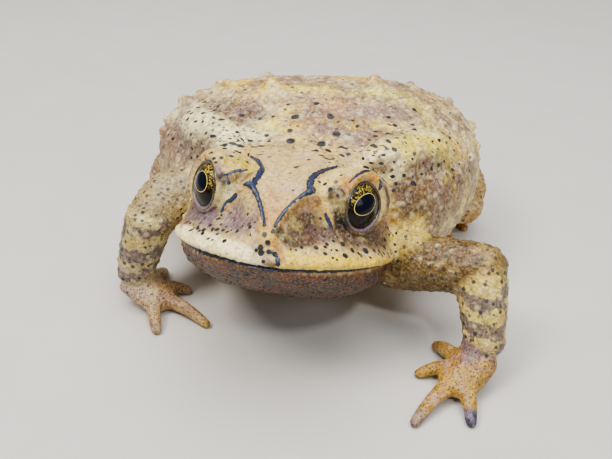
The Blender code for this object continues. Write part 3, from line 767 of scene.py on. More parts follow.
# %% Scatter the small warts
def scatter(places, chance, spacing, seed):
    draw = np.random.default_rng(seed)
    order = draw.permutation(len(places))
    order = order[draw.random(len(order)) < chance[order]]
    cells, kept = {}, []
    grid = np.floor(places / spacing).astype(int)
    for i in order.tolist():
        x, y, z = grid[i].tolist()
        place = places[i]
        near = (
            other
            for a in (-1, 0, 1)
            for b in (-1, 0, 1)
            for c in (-1, 0, 1)
            for other in cells.get((x + a, y + b, z + c), ())
        )
        if all(np.dot(place - other, place - other) > spacing * spacing for other in near):
            cells.setdefault((x, y, z), []).append(place)
            kept.append(i)
    return kept


def smooth_places(places):
    """1 where the skin is bare of warts: lips, snout, crown, the underside and the hands' soles."""
    local = to_head(places)
    across, y, z = folded(local).T
    lip = z - lip_height(y)
    face = belongs["head"] * step(y, 24.0, 20.0) * step(lip, -0.5, 0.2)
    crown = belongs["head"] * step(across, 13.0, 9.0) * step(z, 6.0, 9.0)
    under = step(places[:, 2], 3.0, 1.0)
    return np.clip(np.maximum(np.maximum(face, crown), under), 0, 1)


bare = smooth_places(flesh)
limbs = np.clip(belongs["arm"] + belongs["forearm"] + belongs["leg"], 0, 1)
ends = np.clip(belongs["hand"] + belongs["foot"], 0, 1)
middle_chance = (1 - bare) * (1 - ends) * (1 - 0.75 * belongs["jaw"])
draw = np.random.default_rng(3)
middle = [
    (*flesh[i], draw.uniform(0.6, 1.0) * (0.8 if limbs[i] > 0.5 else 1.0))
    for i in scatter(flesh, 0.5 * middle_chance, 2.7, 5)
]
grain = [(*flesh[i], draw.uniform(0.42, 0.62)) for i in scatter(flesh, 0.8 * (1 - bare), 1.15, 8)]
print("small warts:", len(middle), "granules:", len(grain))


def raise_warts(places, spots, rise, mask):
    _, gap, nearest = gap_to_spots(places, spots)
    radius = np.array([spot[3] for spot in spots])[nearest]
    dome = np.clip(1 - gap**2, 0, 1) ** 1.4
    return surface_push(places, rise * radius * dome * mask)


everywhere = np.ones(len(flesh))
flesh = raise_warts(flesh, grain, 0.30, (1 - 0.6 * ends) * (1 - bare) * (1 - 0.7 * belongs["jaw"]))
flesh = raise_warts(flesh, middle, 0.36, 1 - 0.7 * belongs["jaw"])
flesh = raise_warts(flesh, big, 0.32, everywhere)
write_points(skin.data, flesh)
print("warts raised")

# %% [markdown]
# ## Thinning the mesh
# The voxel surface has the same fine mesh everywhere. A collapse keeps the points where the shape turns and
# drops them where it is plain, which keeps the skin light enough to export.

# %% Thin the mesh where it is plain
SKIN_TRIANGLES = 190000

count = triangles(skin.data)
if count > SKIN_TRIANGLES:
    local = to_head(flesh)
    drawn = belongs["head"] * step(local[:, 1], 31.0, 27.0) * step(local[:, 2], -4.0, -2.5)
    plain = skin.vertex_groups.new(name="plain")
    plain.add([int(i) for i in np.flatnonzero(drawn < 0.5)], 1.0, "REPLACE")
    print("points kept on the face:", int((drawn >= 0.5).sum()))
    with_modifier(
        skin, "DECIMATE", ratio=SKIN_TRIANGLES / count, vertex_group="plain", vertex_group_factor=0.000001
    )
    skin.vertex_groups.clear()
    skin.data.name = "toad_skin"
shade_smooth(skin.data)
print("skin triangles:", triangles(skin.data))

# %% [markdown]
# ## Painting the ground colours
# Under the spots a toad is a patchwork of soft colours: a tan crown, mauve cheeks, a cream lip, yellow lids,
# cream bands along the parotoid glands and brown flanks. Each is one broad brush stroke along a path in the
# head's frame or the floor's, laid over the last. They are kept on the mesh as a colour attribute.

# %% Ground colours and brush strokes
BRIGHTNESS = (0.2126, 0.7152, 0.0722)
PALE = 0.62


def pigment(red, green, blue, depth=1.45, vivid=1.7):
    """Paint for a colour as it is seen. It is deeper and richer, because bright soft light pales it."""
    seen = np.array(tint(red, green, blue))
    grey = float(seen @ BRIGHTNESS)
    return np.clip(grey + (seen - grey) * vivid, 0.004, 1) * (grey / PALE) ** (depth - 1)


# The jaw's ground is much darker than the throat's own ochre: it is painted shade under the chin.
GROUND = {
    "head": (204, 186, 148), "jaw": (60, 34, 6), "trunk": (206, 190, 156), "gland": (214, 206, 170),
    "arm": (124, 108, 4), "forearm": (208, 196, 148), "hand": (178, 150, 102),
    "leg": (190, 168, 130), "foot": (190, 152, 112),
}
CREAM = (238, 228, 196)
YELLOW_CREAM = (220, 196, 128)
LEFT, RIGHT, BOTH = (1,), (-1,), (1, -1)
print("ground colours:", len(GROUND))

# %% Strokes on the head
HEAD_STROKES = (
    # (sides, colour, strength, radius, softness, path in the head's frame)
    (BOTH, (208, 190, 158), 0.8, 5.0, 3.0, ((0, 6, 10), (0, 21, 13))),
    (BOTH, (197, 172, 138), 0.7, 1.6, 1.5, ((0.0, 1.0, 6.4), (0.0, 7.0, 10.0))),
    (LEFT, (152, 126, 66), 0.85, 0.9, 0.7, ((2.6, 3.4, 7.9), (4.6, 6.3, 9.4), (6.6, 8.0, 9.9))),
    (LEFT, (98, 84, 74), 0.95, 2.4, 1.2, ((4.4, 3.4, 6.2), (6.3, 5.4, 7.2))),
    (LEFT, (104, 86, 84), 0.9, 1.9, 1.2, ((6.3, 5.4, 5.0), (9.6, 7.6, 5.0))),
    (RIGHT, (140, 126, 130), 0.9, 2.8, 1.4, ((4.4, 3.2, 6.2), (7.0, 5.4, 6.6))),
    (RIGHT, (136, 120, 126), 0.9, 2.2, 1.4, ((6.5, 4.6, 4.4), (10.0, 7.0, 4.2))),
    (LEFT, (100, 78, 66), 0.95, 2.6, 1.2, ((12.0, 8.6, 4.8), (16.5, 13.6, 3.6), (18.6, 18.5, 2.8))),
    (RIGHT, (126, 112, 122), 0.95, 2.6, 1.4, ((12.0, 8.6, 4.6), (16.5, 13.6, 3.4), (18.8, 18.5, 2.6))),
    (BOTH, (146, 122, 106), 0.8, 2.4, 1.4, ((18.8, 20.0, 3.4), (18.6, 22.4, 6.0))),
    (BOTH, (206, 182, 122), 0.95, 0.8, 0.6, ((0.9, -0.6, 4.2), (0.8, 0.6, 5.8))),
    (LEFT, (104, 82, 62), 0.95, 0.8, 0.4, ((3.2, 0.9, 4.1), (4.5, 1.5, 3.9), (5.7, 2.5, 4.0),
        (6.9, 3.7, 4.0), (7.7, 5.1, 4.2), (9.0, 6.3, 4.5))),
    (LEFT, (88, 64, 40), 0.95, 0.7, 0.5, ((1.9, 1.4, 5.9), (2.4, 1.3, 5.2), (3.2, 1.4, 4.4),
        (4.2, 2.0, 4.3))),
    (RIGHT, (198, 182, 80), 0.95, 1.5, 0.9, ((5.8, 13.2, 12.7), (7.6, 13.6, 13.4), (10.0, 12.2, 13.6))),
    (RIGHT, (138, 118, 10), 0.95, 1.1, 0.6, ((6.0, 11.0, 11.8), (7.1, 10.9, 11.4), (8.8, 10.0, 10.8))),
    (RIGHT, (88, 72, 54), 0.92, 0.7, 0.5, ((11.2, 10.2, 12.0), (10.9, 10.0, 11.4), (10.3, 9.9, 11.0),
        (9.8, 9.6, 10.1))),
    # painted sheen: a pale blue-grey patch on the dark skin before the right eye
    (RIGHT, (150, 158, 158), 0.9, 0.5, 0.4, ((9.8, 9.3, 8.7), (9.1, 9.3, 8.8), (8.3, 9.5, 9.2),
        (7.6, 9.4, 9.4))),
    (LEFT, (70, 44, 22), 0.95, 0.75, 0.4, ((8.4, 10.3, 11.3), (8.9, 9.9, 10.4), (9.6, 9.9, 11.2),
        (10.7, 10.2, 11.9))),
    (RIGHT, (160, 118, 76), 0.85, 0.35, 0.4, ((11.6, 10.6, 12.8), (11.0, 10.1, 12.0))),
    (RIGHT, (206, 120, 60), 0.8, 0.5, 0.5, ((14.7, 14.6, 13.1), (14.4, 14.4, 13.2))),
    (RIGHT, (212, 194, 158), 0.9, 1.5, 1.0, ((8.0, 18.0, 14.0), (12.4, 18.0, 14.2))),
    (LEFT, (218, 206, 168), 0.95, 1.7, 0.9, ((6.4, 10.6, 11.8), (8.2, 13.0, 13.4), (10.6, 17.0, 14.2))),
    (LEFT, (150, 106, 78), 0.85, 0.6, 0.5, ((9.5, 9.8, 10.9), (10.5, 10.2, 11.8))),
    (LEFT, (198, 166, 8), 1.0, 1.05, 0.35, ((10.8, 10.4, 12.3), (11.7, 11.1, 13.1), (12.8, 12.3, 13.7),
        (14.0, 14.0, 14.0), (15.2, 15.4, 13.5), (16.0, 17.0, 12.6))),
    (LEFT, (160, 112, 40), 0.95, 0.5, 0.35, ((10.4, 10.0, 11.5), (11.2, 10.4, 11.9))),
    (LEFT, (84, 60, 54), 0.9, 0.32, 0.25, ((11.4, 10.3, 10.9), (12.7, 11.8, 12.1), (13.6, 13.1, 12.8),
        (14.6, 14.6, 12.9), (15.7, 15.4, 12.5))),
    (RIGHT, (104, 82, 70), 0.8, 0.3, 0.3, ((10.9, 9.9, 10.6), (12.3, 11.3, 12.2), (13.6, 13.0, 12.8))),
    (LEFT, (30, 27, 10), 0.97, 1.7, 0.6, ((9.4, 9.8, 10.7), (9.7, 9.6, 9.9), (10.2, 9.4, 9.0),
        (10.7, 9.2, 8.0), (11.1, 9.2, 6.8))),
    (LEFT, (204, 188, 148), 0.8, 0.28, 0.3, ((7.9, 9.0, 9.0), (8.7, 8.5, 8.1), (9.4, 8.2, 7.0),
        (10.3, 8.2, 5.6), (11.3, 7.5, 3.8))),
    # painted sheen: the pale patch before the right eye
    (RIGHT, (186, 184, 156), 0.9, 1.2, 0.6, ((8.8, 9.4, 9.6), (9.8, 9.0, 8.4), (10.4, 8.9, 7.0))),
    (RIGHT, (82, 66, 52), 0.92, 0.6, 0.45, ((11.2, 10.2, 12.0), (10.6, 9.9, 11.2), (10.0, 9.7, 10.4))),
    (LEFT, (70, 44, 20), 0.95, 0.95, 0.4, ((1.8, 1.0, 5.3), (2.4, 1.1, 5.0), (3.1, 1.7, 5.0))),
    (BOTH, (98, 64, 4), 0.95, 1.0, 0.6, ((16.8, 17.0, 12.3), (17.6, 17.0, 10.4), (18.2, 17.2, 9.0),
        (18.4, 18.8, 7.4))),
    (BOTH, (200, 174, 92), 0.95, 0.9, 0.6, ((18.9, 21.0, 6.6), (19.8, 22.4, 4.6), (20.8, 23.6, 2.6))),
    (LEFT, (190, 164, 88), 0.95, 0.9, 0.6, ((18.6, 24.8, 6.4), (19.1, 25.2, 5.0), (19.9, 25.4, 3.6))),
    (LEFT, (238, 230, 198), 0.95, 2.5, 1.2, ((13.4, 26.4, 13.8), (16.4, 26.7, 14.6), (18.4, 27.4, 13.6))),
    (BOTH, (236, 222, 166), 0.95, 2.6, 1.2, ((20.8, 23.4, 0.8), (22.6, 25.6, 0.6), (24.0, 28.0, 2.0))),
    (BOTH, (214, 198, 150), 0.7, 2.4, 1.6, ((10.0, 21.0, 14.4), (15.0, 23.6, 13.4))),
    (BOTH, (176, 148, 92), 0.8, 3.0, 2.0, ((20.0, 27.0, -2.0), (16.0, 26.0, -7.0))),
    # painted shade: the throat under the jaw darkened
    (BOTH, (72, 40, 8), 0.9, 2.8, 2.0, ((0.0, -1.0, -4.4), (12.0, 6.0, -5.4), (18.0, 16.0, -6.4))),
)


print("strokes on the head:", len(HEAD_STROKES))

# %% Strokes on one side, the snout, the body and the limbs
SIDE_STROKES = (
    # the brown side below the left gland, in the head's frame
    ((112, 88, 60), 0.95, 2.8, 1.6, ((21.0, 27.4, 9.6), (22.0, 27.6, 7.0), (23.6, 28.4, 4.8))),
    ((138, 114, 88), 0.9, 4.0, 2.2, ((25.0, 30.6, 11.4), (26.6, 30.6, 8.6), (28.0, 30.8, 6.2))),
    ((172, 148, 102), 0.85, 4.6, 2.8, ((30.4, 34.4, 10.6), (31.8, 34.4, 7.0))),
)
SNOUT_STROKES = (
    (BOTH, (140, 112, 98), 0.75, 0.7, 0.8, ((0.2, -1.0, 1.6), (1.6, -1.0, 0.9))),
    (BOTH, (186, 146, 18), 0.9, 0.5, 0.35, ((1.5, 0.0, 4.3), (1.4, -0.2, 3.7), (2.3, -0.1, 3.2),
        (2.7, -0.5, 2.3), (3.1, -0.7, 1.7))),
    (BOTH, (84, 60, 50), 0.85, 0.4, 0.4, ((0.6, -0.7, 2.7), (1.6, -0.6, 2.5), (2.1, -0.7, 2.0),
        (2.4, -1.1, 1.2), (1.5, -1.3, 0.6), (0.4, -1.4, 0.8))),
    (BOTH, (178, 146, 120), 0.6, 0.6, 0.8, ((-1.0, -0.4, 4.4), (-1.6, -0.6, 1.4))),
)
BODY_STROKES = (
    # (colour, strength, radius, softness, path over the floor)
    ((198, 174, 144), 0.85, 9.0, 6.0, ((0, -12, 35), (-1, 4, 37), (-3, 30, 33))),
    ((232, 228, 200), 0.95, 3.8, 2.0, ((-11, -12.5, 35), (-18.5, -16, 35), (-23.3, -12.5, 34.7),
        (-31.8, -1.6, 31.8), (-36, 8, 27))),
    ((132, 116, 98), 0.95, 3.2, 2.0, ((-22.6, -2.4, 35.4), (-17.4, -6.4, 35.5), (-12.6, -8.0, 35.4))),
    ((222, 200, 112), 0.9, 4.2, 3.0, ((-23, 6.8, 36.5), (-18, 6.9, 37.3), (-12.4, 4.5, 38))),
    ((230, 212, 136), 0.95, 2.2, 1.5, ((-10.2, -9.5, 35.4), (-5.5, -8.0, 35.8), (-6.0, -5.0, 36.5))),
    ((166, 142, 120), 0.85, 2.0, 1.6, ((-2.7, -3.0, 36.8), (0.5, -8.0, 35.8))),
    ((230, 212, 136), 0.95, 2.0, 1.5, ((3.7, -5.7, 36.0), (9.2, -6.3, 35.9), (12.3, -4.5, 35.7))),
    ((144, 124, 104), 0.9, 2.4, 1.6, ((6.5, -10.0, 35.0), (12, -8.0, 35.4), (16.6, -9.5, 36.0))),
    ((164, 142, 132), 0.9, 2.8, 2.0, ((6.7, -1.3, 36.8), (12.6, 1.2, 36.6))),
    ((216, 212, 158), 0.9, 4.0, 3.0, ((7.0, 8.0, 37.9), (13.2, 8.6, 37.3))),
    ((222, 206, 132), 0.9, 3.0, 2.0, ((-5.8, 6.1, 38.0), (-1.2, 7.2, 38.0))),
    ((198, 182, 130), 0.8, 3.0, 2.5, ((15.9, 10.4, 36.9), (21, 2, 34.8), (26, -2, 31))),
    ((228, 212, 146), 0.95, 2.6, 1.6, ((14.0, -15.6, 35.5), (20.4, -10.6, 35.9), (26.1, -5.7, 32.2))),
    ((222, 184, 98), 0.9, 1.6, 1.3, ((-9.0, -18.5, 34.6), (-1.3, -15.8, 34.3), (4.6, -14.6, 34.1))),
    ((226, 208, 158), 0.9, 1.6, 1.2, ((-7.0, -13.5, 34.4), (5.5, -12.0, 34.4))),
    ((142, 122, 108), 0.95, 3.4, 2.0, ((-21.6, -16.4, 31.4), (-25.5, -11.5, 29.8), (-31.5, -4.0, 27.6),
        (-37, 3, 24))),
    ((112, 90, 66), 0.9, 3.8, 1.8, ((18.6, -17.4, 28.6), (22.8, -12.6, 30.0), (28.0, -7.6, 26.6),
        (32, -3, 24))),
    ((150, 130, 110), 0.8, 5.0, 3.5, ((14, 16, 35), (18, 26, 32), (10, 38, 27))),
    ((168, 142, 126), 0.8, 5.0, 3.5, ((-10, 14, 37), (-24, 20, 32), (-18, 34, 28))),
    ((220, 202, 140), 0.8, 4.0, 3.0, ((4, 18, 36), (0, 32, 32), (-4, 42, 25))),
    ((238, 222, 172), 0.9, 7.0, 4.0, ((31, -12, 18), (36, 0, 20), (35, 14, 20))),
    ((192, 180, 146), 0.8, 7.0, 4.0, ((-34, -6, 18), (-38, 6, 20), (-38, 18, 18))),
    ((216, 204, 168), 0.9, 20.0, 8.0, ((0, -14, -6), (-2, 10, -8), (-6, 34, -4))),
    ((140, 114, 36), 0.85, 4.0, 3.0, ((22, -19, 10), (30, -23, 13))),
    ((118, 90, 74), 0.85, 4.0, 3.0, ((-22, -12, 11), (-27, -18, 13))),
    ((236, 222, 158), 1.0, 2.2, 1.4, ((18.8, -22.8, 19.6), (21.2, -22.2, 20.8), (23.8, -18.0, 21.4))),
)


LIMB_STROKES = (
    # (parts of the body, colour, strength, radius, softness, path over the floor)
    (("hand", "forearm"), (176, 158, 140), 0.85, 12.0, 4.0, ((-30, -28, 2), (-34, -24, 2))),
    (("forearm", "arm"), (186, 178, 150), 0.75, 9.0, 4.0, ((-30, -20, 20), (-34, -27, 8))),
    (("hand",), (176, 146, 104), 0.6, 3.2, 2.0, ((35, -33, 4), (33, -38, 3))),
    (("hand",), (44, 58, 104), 0.98, 1.6, 0.5, ((36.0, -46.6, 0.6), (35.7, -45.4, 1.2))),
    (("hand",), (128, 112, 122), 0.8, 1.6, 1.0, ((26.3, -48.6, 0.6), (27.0, -47.2, 1.0))),
    (("hand",), (150, 118, 66), 0.8, 1.8, 1.2, ((29.4, -28.6, 1.4), (30.4, -31.0, 2.4))),
    (("forearm", "arm"), (150, 104, 64), 0.85, 1.6, 1.4, ((31.2, -27.6, 15.0), (33.2, -31.5, 8.0))),
    (("arm",), (118, 104, 6), 0.85, 3.6, 2.4, ((20, -24, 13), (28, -27, 15))),
)


print("strokes on the body and the limbs:", len(BODY_STROKES) + len(LIMB_STROKES))


# %% Lay the strokes over each other
def stroke_mask(places, path, radius, softness):
    curve = np.column_stack([np.asarray(path, float), np.full(len(path), 1.0)])
    return step(gap_to_curve(places, curve)[1], radius + softness, radius - softness)


LIP_BAND_ALONG = (-0.8, 0.0, 1.2, 3.0, 4.6, 6.8, 11.9, 17.0, 21.0)
LIP_BAND_TOP = (2.5, 3.1, 3.1, 3.0, 2.8, 2.1, 1.3, -0.5, -1.6)


def lip_band(local):
    """The cream band above the mouth: its top edge is given by how far back along the jaw it is."""
    y, z = local[:, 1], local[:, 2]
    top = np.interp(y, LIP_BAND_ALONG, LIP_BAND_TOP)
    top = top - 0.5 * step(local[:, 0], 3.0, 7.0)
    return step(top - z, -0.2, 0.35) * step(z - lip_height(y), -0.3, 0.1)


def laid(colour, mask, paint):
    """The colour with one paint laid over it as far as the mask says."""
    return colour + mask[:, None] * (pigment(*paint) - colour)


def ground_colour(places, parts):
    local = to_head(places)
    colour = sum(parts[part][:, None] * pigment(*GROUND[part]) for part in PARTS)
    faced = np.clip(parts["head"] + parts["jaw"], 0, 1)
    on_head = np.clip(faced + parts["gland"], 0, 1)
    for paint, strength, radius, softness, path in BODY_STROKES:
        mask = stroke_mask(places, path, radius, softness) * strength * (1 - faced)
        mask = mask * np.clip(parts["trunk"] + parts["gland"] + 0.6 * parts["arm"], 0, 1)
        colour = laid(colour, mask, paint)
    for names, paint, strength, radius, softness, path in LIMB_STROKES:
        mask = stroke_mask(places, path, radius, softness) * strength * sum(parts[name] for name in names)
        colour = laid(colour, np.clip(mask, 0, 1), paint)
    for paint, strength, radius, softness, path in SIDE_STROKES:
        mask = stroke_mask(local, path, radius, softness) * strength
        mask = mask * np.clip(on_head + parts["trunk"] + 0.3 * parts["arm"], 0, 1)
        colour = laid(colour, mask, paint)
    above = step(local[:, 2] - lip_height(local[:, 1]), -0.3, 0.1)
    for sides, paint, strength, radius, softness, path in HEAD_STROKES:
        for side in sides:
            mask = stroke_mask(local * (side, 1, 1), path, radius, softness) * strength * on_head
            mask = mask * (above if path[0][2] > 0 else 1 - above)
            colour = laid(colour, mask, paint)
    band = lip_band(local) * on_head * step(local[:, 1], 23.0, 20.5)
    lit = step(local[:, 0], -3.0, 5.0)[:, None]
    cream = pigment(*CREAM) * (1 - lit) + pigment(*YELLOW_CREAM) * lit
    colour = colour + band[:, None] * (cream - colour)
    for sides, paint, strength, radius, softness, path in SNOUT_STROKES:
        mask = stroke_mask(local, path, radius, softness) * strength * on_head
        colour = laid(colour, mask, paint)
    return colour


print("strokes:", len(HEAD_STROKES) + len(BODY_STROKES))

# %% [markdown]
# ## Inked lines and spots
# The black lines on the bony ridges are horn, and they are the animal's clearest mark; the blue down their
# middle is painted sheen. The dark spots on the face are horn too. Both are given as lines and points with a
# width. The mesh keeps, at every point, the arrow to the nearest one measured in its own half widths, and the
# shader draws the mark where that arrow is shorter than 1, so edges stay crisp on a coarse mesh.

# %% Ink lines and spots of the face
INK_LINES = (
    # knots in the head's frame, each with the line's half width
    ((1.0, 1.1, 6.5, 0.28), (1.7, 3.2, 8.3, 0.38), (2.8, 5.4, 9.8, 0.46), (4.4, 7.2, 11.1, 0.62),
        (5.5, 8.6, 11.5, 0.85)),
    ((5.5, 8.4, 11.5, 0.8), (4.8, 9.6, 12.3, 0.72), (5.1, 13.2, 13.0, 0.5), (6.3, 17.0, 13.3, 0.34),
        (8.1, 21.2, 13.5, 0.2)),
    ((-0.7, 1.2, 6.4, 0.3), (-1.5, 2.7, 8.0, 0.42), (-2.8, 5.1, 9.7, 0.5), (-4.3, 6.9, 11.0, 0.62),
        (-6.2, 9.0, 10.9, 0.5)),
    ((-4.4, 7.4, 11.2, 0.6), (-4.1, 10.2, 12.3, 0.55), (-4.1, 13.0, 13.1, 0.6), (-5.3, 15.2, 13.6, 0.42),
        (-8.1, 20.9, 13.2, 0.2)),
    ((-7.3, 8.0, 8.8, 0.4), (-8.0, 8.1, 8.0, 0.5), (-8.8, 8.3, 7.4, 0.38), (-9.3, 8.2, 6.6, 0.34),
        (-9.5, 7.9, 5.6, 0.2)),
    ((8.0, 8.3, 7.9, 0.1), (8.4, 8.2, 7.2, 0.28), (9.0, 8.0, 6.3, 0.34), (9.7, 7.8, 5.4, 0.14)),
    ((11.2, 10.8, 13.0, 0.12), (11.7, 11.3, 13.6, 0.2), (12.4, 12.3, 14.2, 0.22),
        (13.1, 13.4, 14.6, 0.22), (14.2, 15.5, 14.6, 0.2), (15.2, 17.0, 14.2, 0.12)),
    ((15.4, 18.6, 13.6, 0.2), (16.3, 19.4, 12.9, 0.42), (17.1, 20.2, 12.1, 0.34), (17.8, 21.0, 11.2, 0.16)),
    ((16.0, 16.6, 13.0, 0.16), (16.4, 16.2, 12.4, 0.4), (16.3, 15.8, 11.6, 0.26)),
    ((-10.0, 10.1, 11.6, 0.12), (-9.1, 10.3, 11.9, 0.26), (-8.2, 11.2, 12.3, 0.28),
        (-7.7, 11.6, 12.3, 0.34), (-7.2, 11.9, 12.3, 0.16), (-6.7, 12.6, 12.4, 0.24)),
    ((-9.8, 9.9, 11.2, 0.14), (-9.3, 9.8, 10.8, 0.24), (-9.0, 9.8, 10.2, 0.28)),
    ((17.6, 17.0, 6.7, 0.12), (18.7, 20.6, 3.6, 0.14), (20.0, 23.0, 1.4, 0.15)),
    ((-17.2, 20.0, 7.6, 0.2), (-18.4, 22.6, 4.0, 0.22), (-20.0, 23.5, 1.7, 0.14)),
    ((-14.8, 13.0, 11.9, 0.5), (-14.6, 14.6, 13.0, 0.3)),
    ((0.6, -0.7, 2.7, 0.12), (1.6, -0.6, 2.5, 0.18), (2.1, -0.7, 2.0, 0.2), (2.4, -1.1, 1.2, 0.18),
        (2.5, -1.1, 0.6, 0.12)),
)


print("ink lines drawn:", len(INK_LINES))

# %% Spots of the face
FACE_SPOTS = (
    # place in the head's frame and radius: along the top of the lip band, left side of the animal
    (4, 0.6, 3.2, 0.16), (4.8, 0.9, 3.1, 0.21), (5.5, 1.8, 3.4, 0.27), (6.3, 1.3, 2.7, 0.13),
        (7.7, 3.3, 3.2, 0.38),
    (9, 4.5, 3.2, 0.27), (9.2, 5.2, 3.5, 0.33), (9.3, 3.1, 2.5, 0.32), (10.1, 4.5, 2.8, 0.19),
    (10.9, 5.2, 2.7, 0.25), (10.1, 6.5, 3.8, 0.25), (11.7, 7.1, 3.3, 0.39), (10.6, 3.1, 2, 0.22),
    (11.3, 3.3, 1.7, 0.22), (12.4, 5.2, 2, 0.45), (13.4, 7.4, 2.4, 0.42), (14.4, 8.8, 1.6, 0.28),
    (15.5, 10.5, 1.7, 0.48), (16.9, 12.3, 1.4, 0.35), (17.8, 13.8, 0.9, 0.35), (18.6, 15.1, 0.3, 0.36),
    (19.4, 16.8, -0.2, 0.33), (20, 19.1, -0.8, 0.31), (18.5, 19.5, 1.5, 0.37), (18.6, 17.4, 0.7, 0.42),
    (20.5, 24, -0.5, 0.25), (20.4, 25.3, 1.4, 0.26), (19.8, 20.2, -0.5, 0.28), (18.3, 13.8, 0.5, 0.24),
    # the same on its right side
    (-22.1, 27.3, -1.7, 0.29), (-19.6, 21.6, 0.9, 0.19), (-17.6, 18.6, 2.5, 0.23), (-17.8, 15.3, 1.2, 0.19),
    (-15.7, 10.9, 1.9, 0.21), (-16.4, 14.7, 2.3, 0.15), (-14.6, 12.2, 3.4, 0.14), (-13.1, 10.9, 4.1, 0.13),
    (-13, 6.7, 2.4, 0.24), (-11.8, 5.8, 2.6, 0.31), (-11.8, 5.1, 2.3, 0.24), (-10.9, 6.4, 3.4, 0.24),
    (-10.1, 5.3, 3.2, 0.24), (-10.1, 4.8, 3, 0.17), (-8.9, 6, 4, 0.17), (-8.1, 4.3, 3.5, 0.23),
    (-10, 7.3, 4.4, 0.17), (-8.9, 3.7, 2.9, 0.2), (-7.2, 3.6, 3.6, 0.23), (-6.6, 3.8, 3.9, 0.13),
    (-5.4, 2.9, 4.2, 0.23), (-3.2, 2.2, 5.4, 0.26), (-4.2, 4.3, 6.9, 0.2), (-7.7, 7.3, 5.8, 0.13),
    (-6.7, 5.7, 5, 0.13), (-2.5, 2.3, 6.3, 0.13), (-19, 16.8, 0.2, 0.19), (-22.4, 26.8, -0.4, 0.16),
    # lids, cheeks and the side of the snout, left and right
    (10.6, 7.6, 4.2, 0.2), (20.4, 22.6, 0, 0.24), (12.4, 9.5, 4.1, 0.18), (14, 10.1, 2.6, 0.22),
    (15.8, 12.6, 2.4, 0.22), (17.1, 14.8, 1.7, 0.18), (20.8, 21.9, -1.2, 0.24), (6.1, 11.9, 12.2, 0.32),
    (7.1, 11.6, 12, 0.34), (8.2, 10.5, 11.4, 0.4), (7.4, 7.9, 6.9, 0.22), (9.6, 9.7, 10.8, 0.26),
    (8.4, 7.4, 5.4, 0.2), (6.9, 6.2, 5.3, 0.16), (9.6, 12.6, 13.7, 0.26), (9.8, 16, 14.4, 0.28),
    (7.6, 24.5, 13.8, 0.3), (6.4, 22.4, 13.8, 0.28), (18.8, 26.9, 9.3, 0.32), (19.1, 27.4, 10.5, 0.3),
    (7.8, 21.3, 13.7, 0.16), (9.7, 23.8, 13.3, 0.14),
    (-7.8, 5.1, 4, 0.18), (-9.3, 4.9, 3.3, 0.3), (-13.5, 7.8, 2.3, 0.34), (-16.4, 11.8, 1.7, 0.34),
    (-7.1, 1.7, 2.6, 0.3), (-10.2, 3.1, 2.1, 0.22), (-9.3, 2.5, 2.2, 0.18), (-9.4, 6.2, 4.9, 0.2),
    (-13.2, 8.5, 2.9, 0.22), (-2.8, 1, 4.5, 0.16), (-4.6, 3.1, 5.1, 0.16), (-12.6, 9.2, 3.7, 0.18),
    (-9.3, 7.3, 5.2, 0.18), (-17.6, 14.2, 0.8, 0.3), (-17.6, 16.8, 1.8, 0.2), (-18.8, 18.8, 0.9, 0.22),
    (-19.6, 18.6, -0.6, 0.26), (-9.9, 16.2, 14.4, 0.32), (-10.6, 22.6, 13.2, 0.32), (-9.9, 13.8, 14.2, 0.3),
    (-11.4, 12.7, 13.9, 0.26), (-7.2, 14.7, 13.3, 0.26), (-16, 18.5, 10.6, 0.4), (-13.5, 13.4, 14.3, 0.3),
    (-12.5, 11.7, 13.8, 0.28), (-11.9, 11.1, 13.3, 0.22), (-14.7, 14.4, 12.2, 0.3),
        (-10.1, 13.7, 14.2, 0.22),
    (-8.6, 13.6, 13.8, 0.15), (-12.2, 25.9, 12.8, 0.26), (-11.3, 25.2, 12.8, 0.24),
        (-8.6, 21.7, 13.3, 0.28),
    (-18, 19.7, 2.1, 0.22),
    # the middle of the snout and the crown
    (2.3, 8.2, 11, 0.2), (1, 18.4, 12.9, 0.44), (-0.4, 0.3, 5.1, 0.3), (0.8, 0.7, 5.7, 0.34),
        (0.3, -0.2, 4, 0.38),
    (-0.7, -0.5, 3.1, 0.34), (-0.5, -0.8, 2.4, 0.38), (0.7, -0.7, 2.7, 0.3), (1.7, -0.6, 2.4, 0.34),
    (2.3, -0.9, 1.6, 0.36), (0.1, -1.4, 1.2, 0.26), (-1.3, -0.6, 2.6, 0.22), (2.4, -0.8, 0.9, 0.3),
)


print("spots of the face:", len(FACE_SPOTS))

# %% Spots and ticks of the body
BODY_SPOTS = (
    # dark tips of warts on the nape and the back, over the floor
    (-9.3, -16.7, 34.2, 0.66), (-4.3, -13.7, 34.5, 0.95), (1.7, -13.0, 34.4, 0.9), (4.1, -9.9, 35.3, 0.85),
    (-5.2, -5.9, 36.2, 0.85), (-16.3, -6.4, 35.5, 0.6), (-9.6, -6.6, 36.2, 0.45), (1.8, -4.1, 36.5, 0.8),
    (6.6, -5.0, 36.5, 0.5), (-7.7, -1.4, 37.0, 0.5), (-1.9, -0.3, 37.3, 0.65), (13.2, -0.7, 36.2, 0.55),
    (14.9, -3.1, 35.5, 0.6), (11.6, -8.6, 35.2, 0.55), (-5.2, -10.4, 35.2, 0.6), (-9.5, -12.3, 34.5, 0.5),
    (5.0, -18.3, 34.1, 0.36), (7.3, -14.8, 33.7, 0.5), (7.6, -6.6, 36.0, 0.4), (-12.2, -7.4, 35.7, 0.5),
)
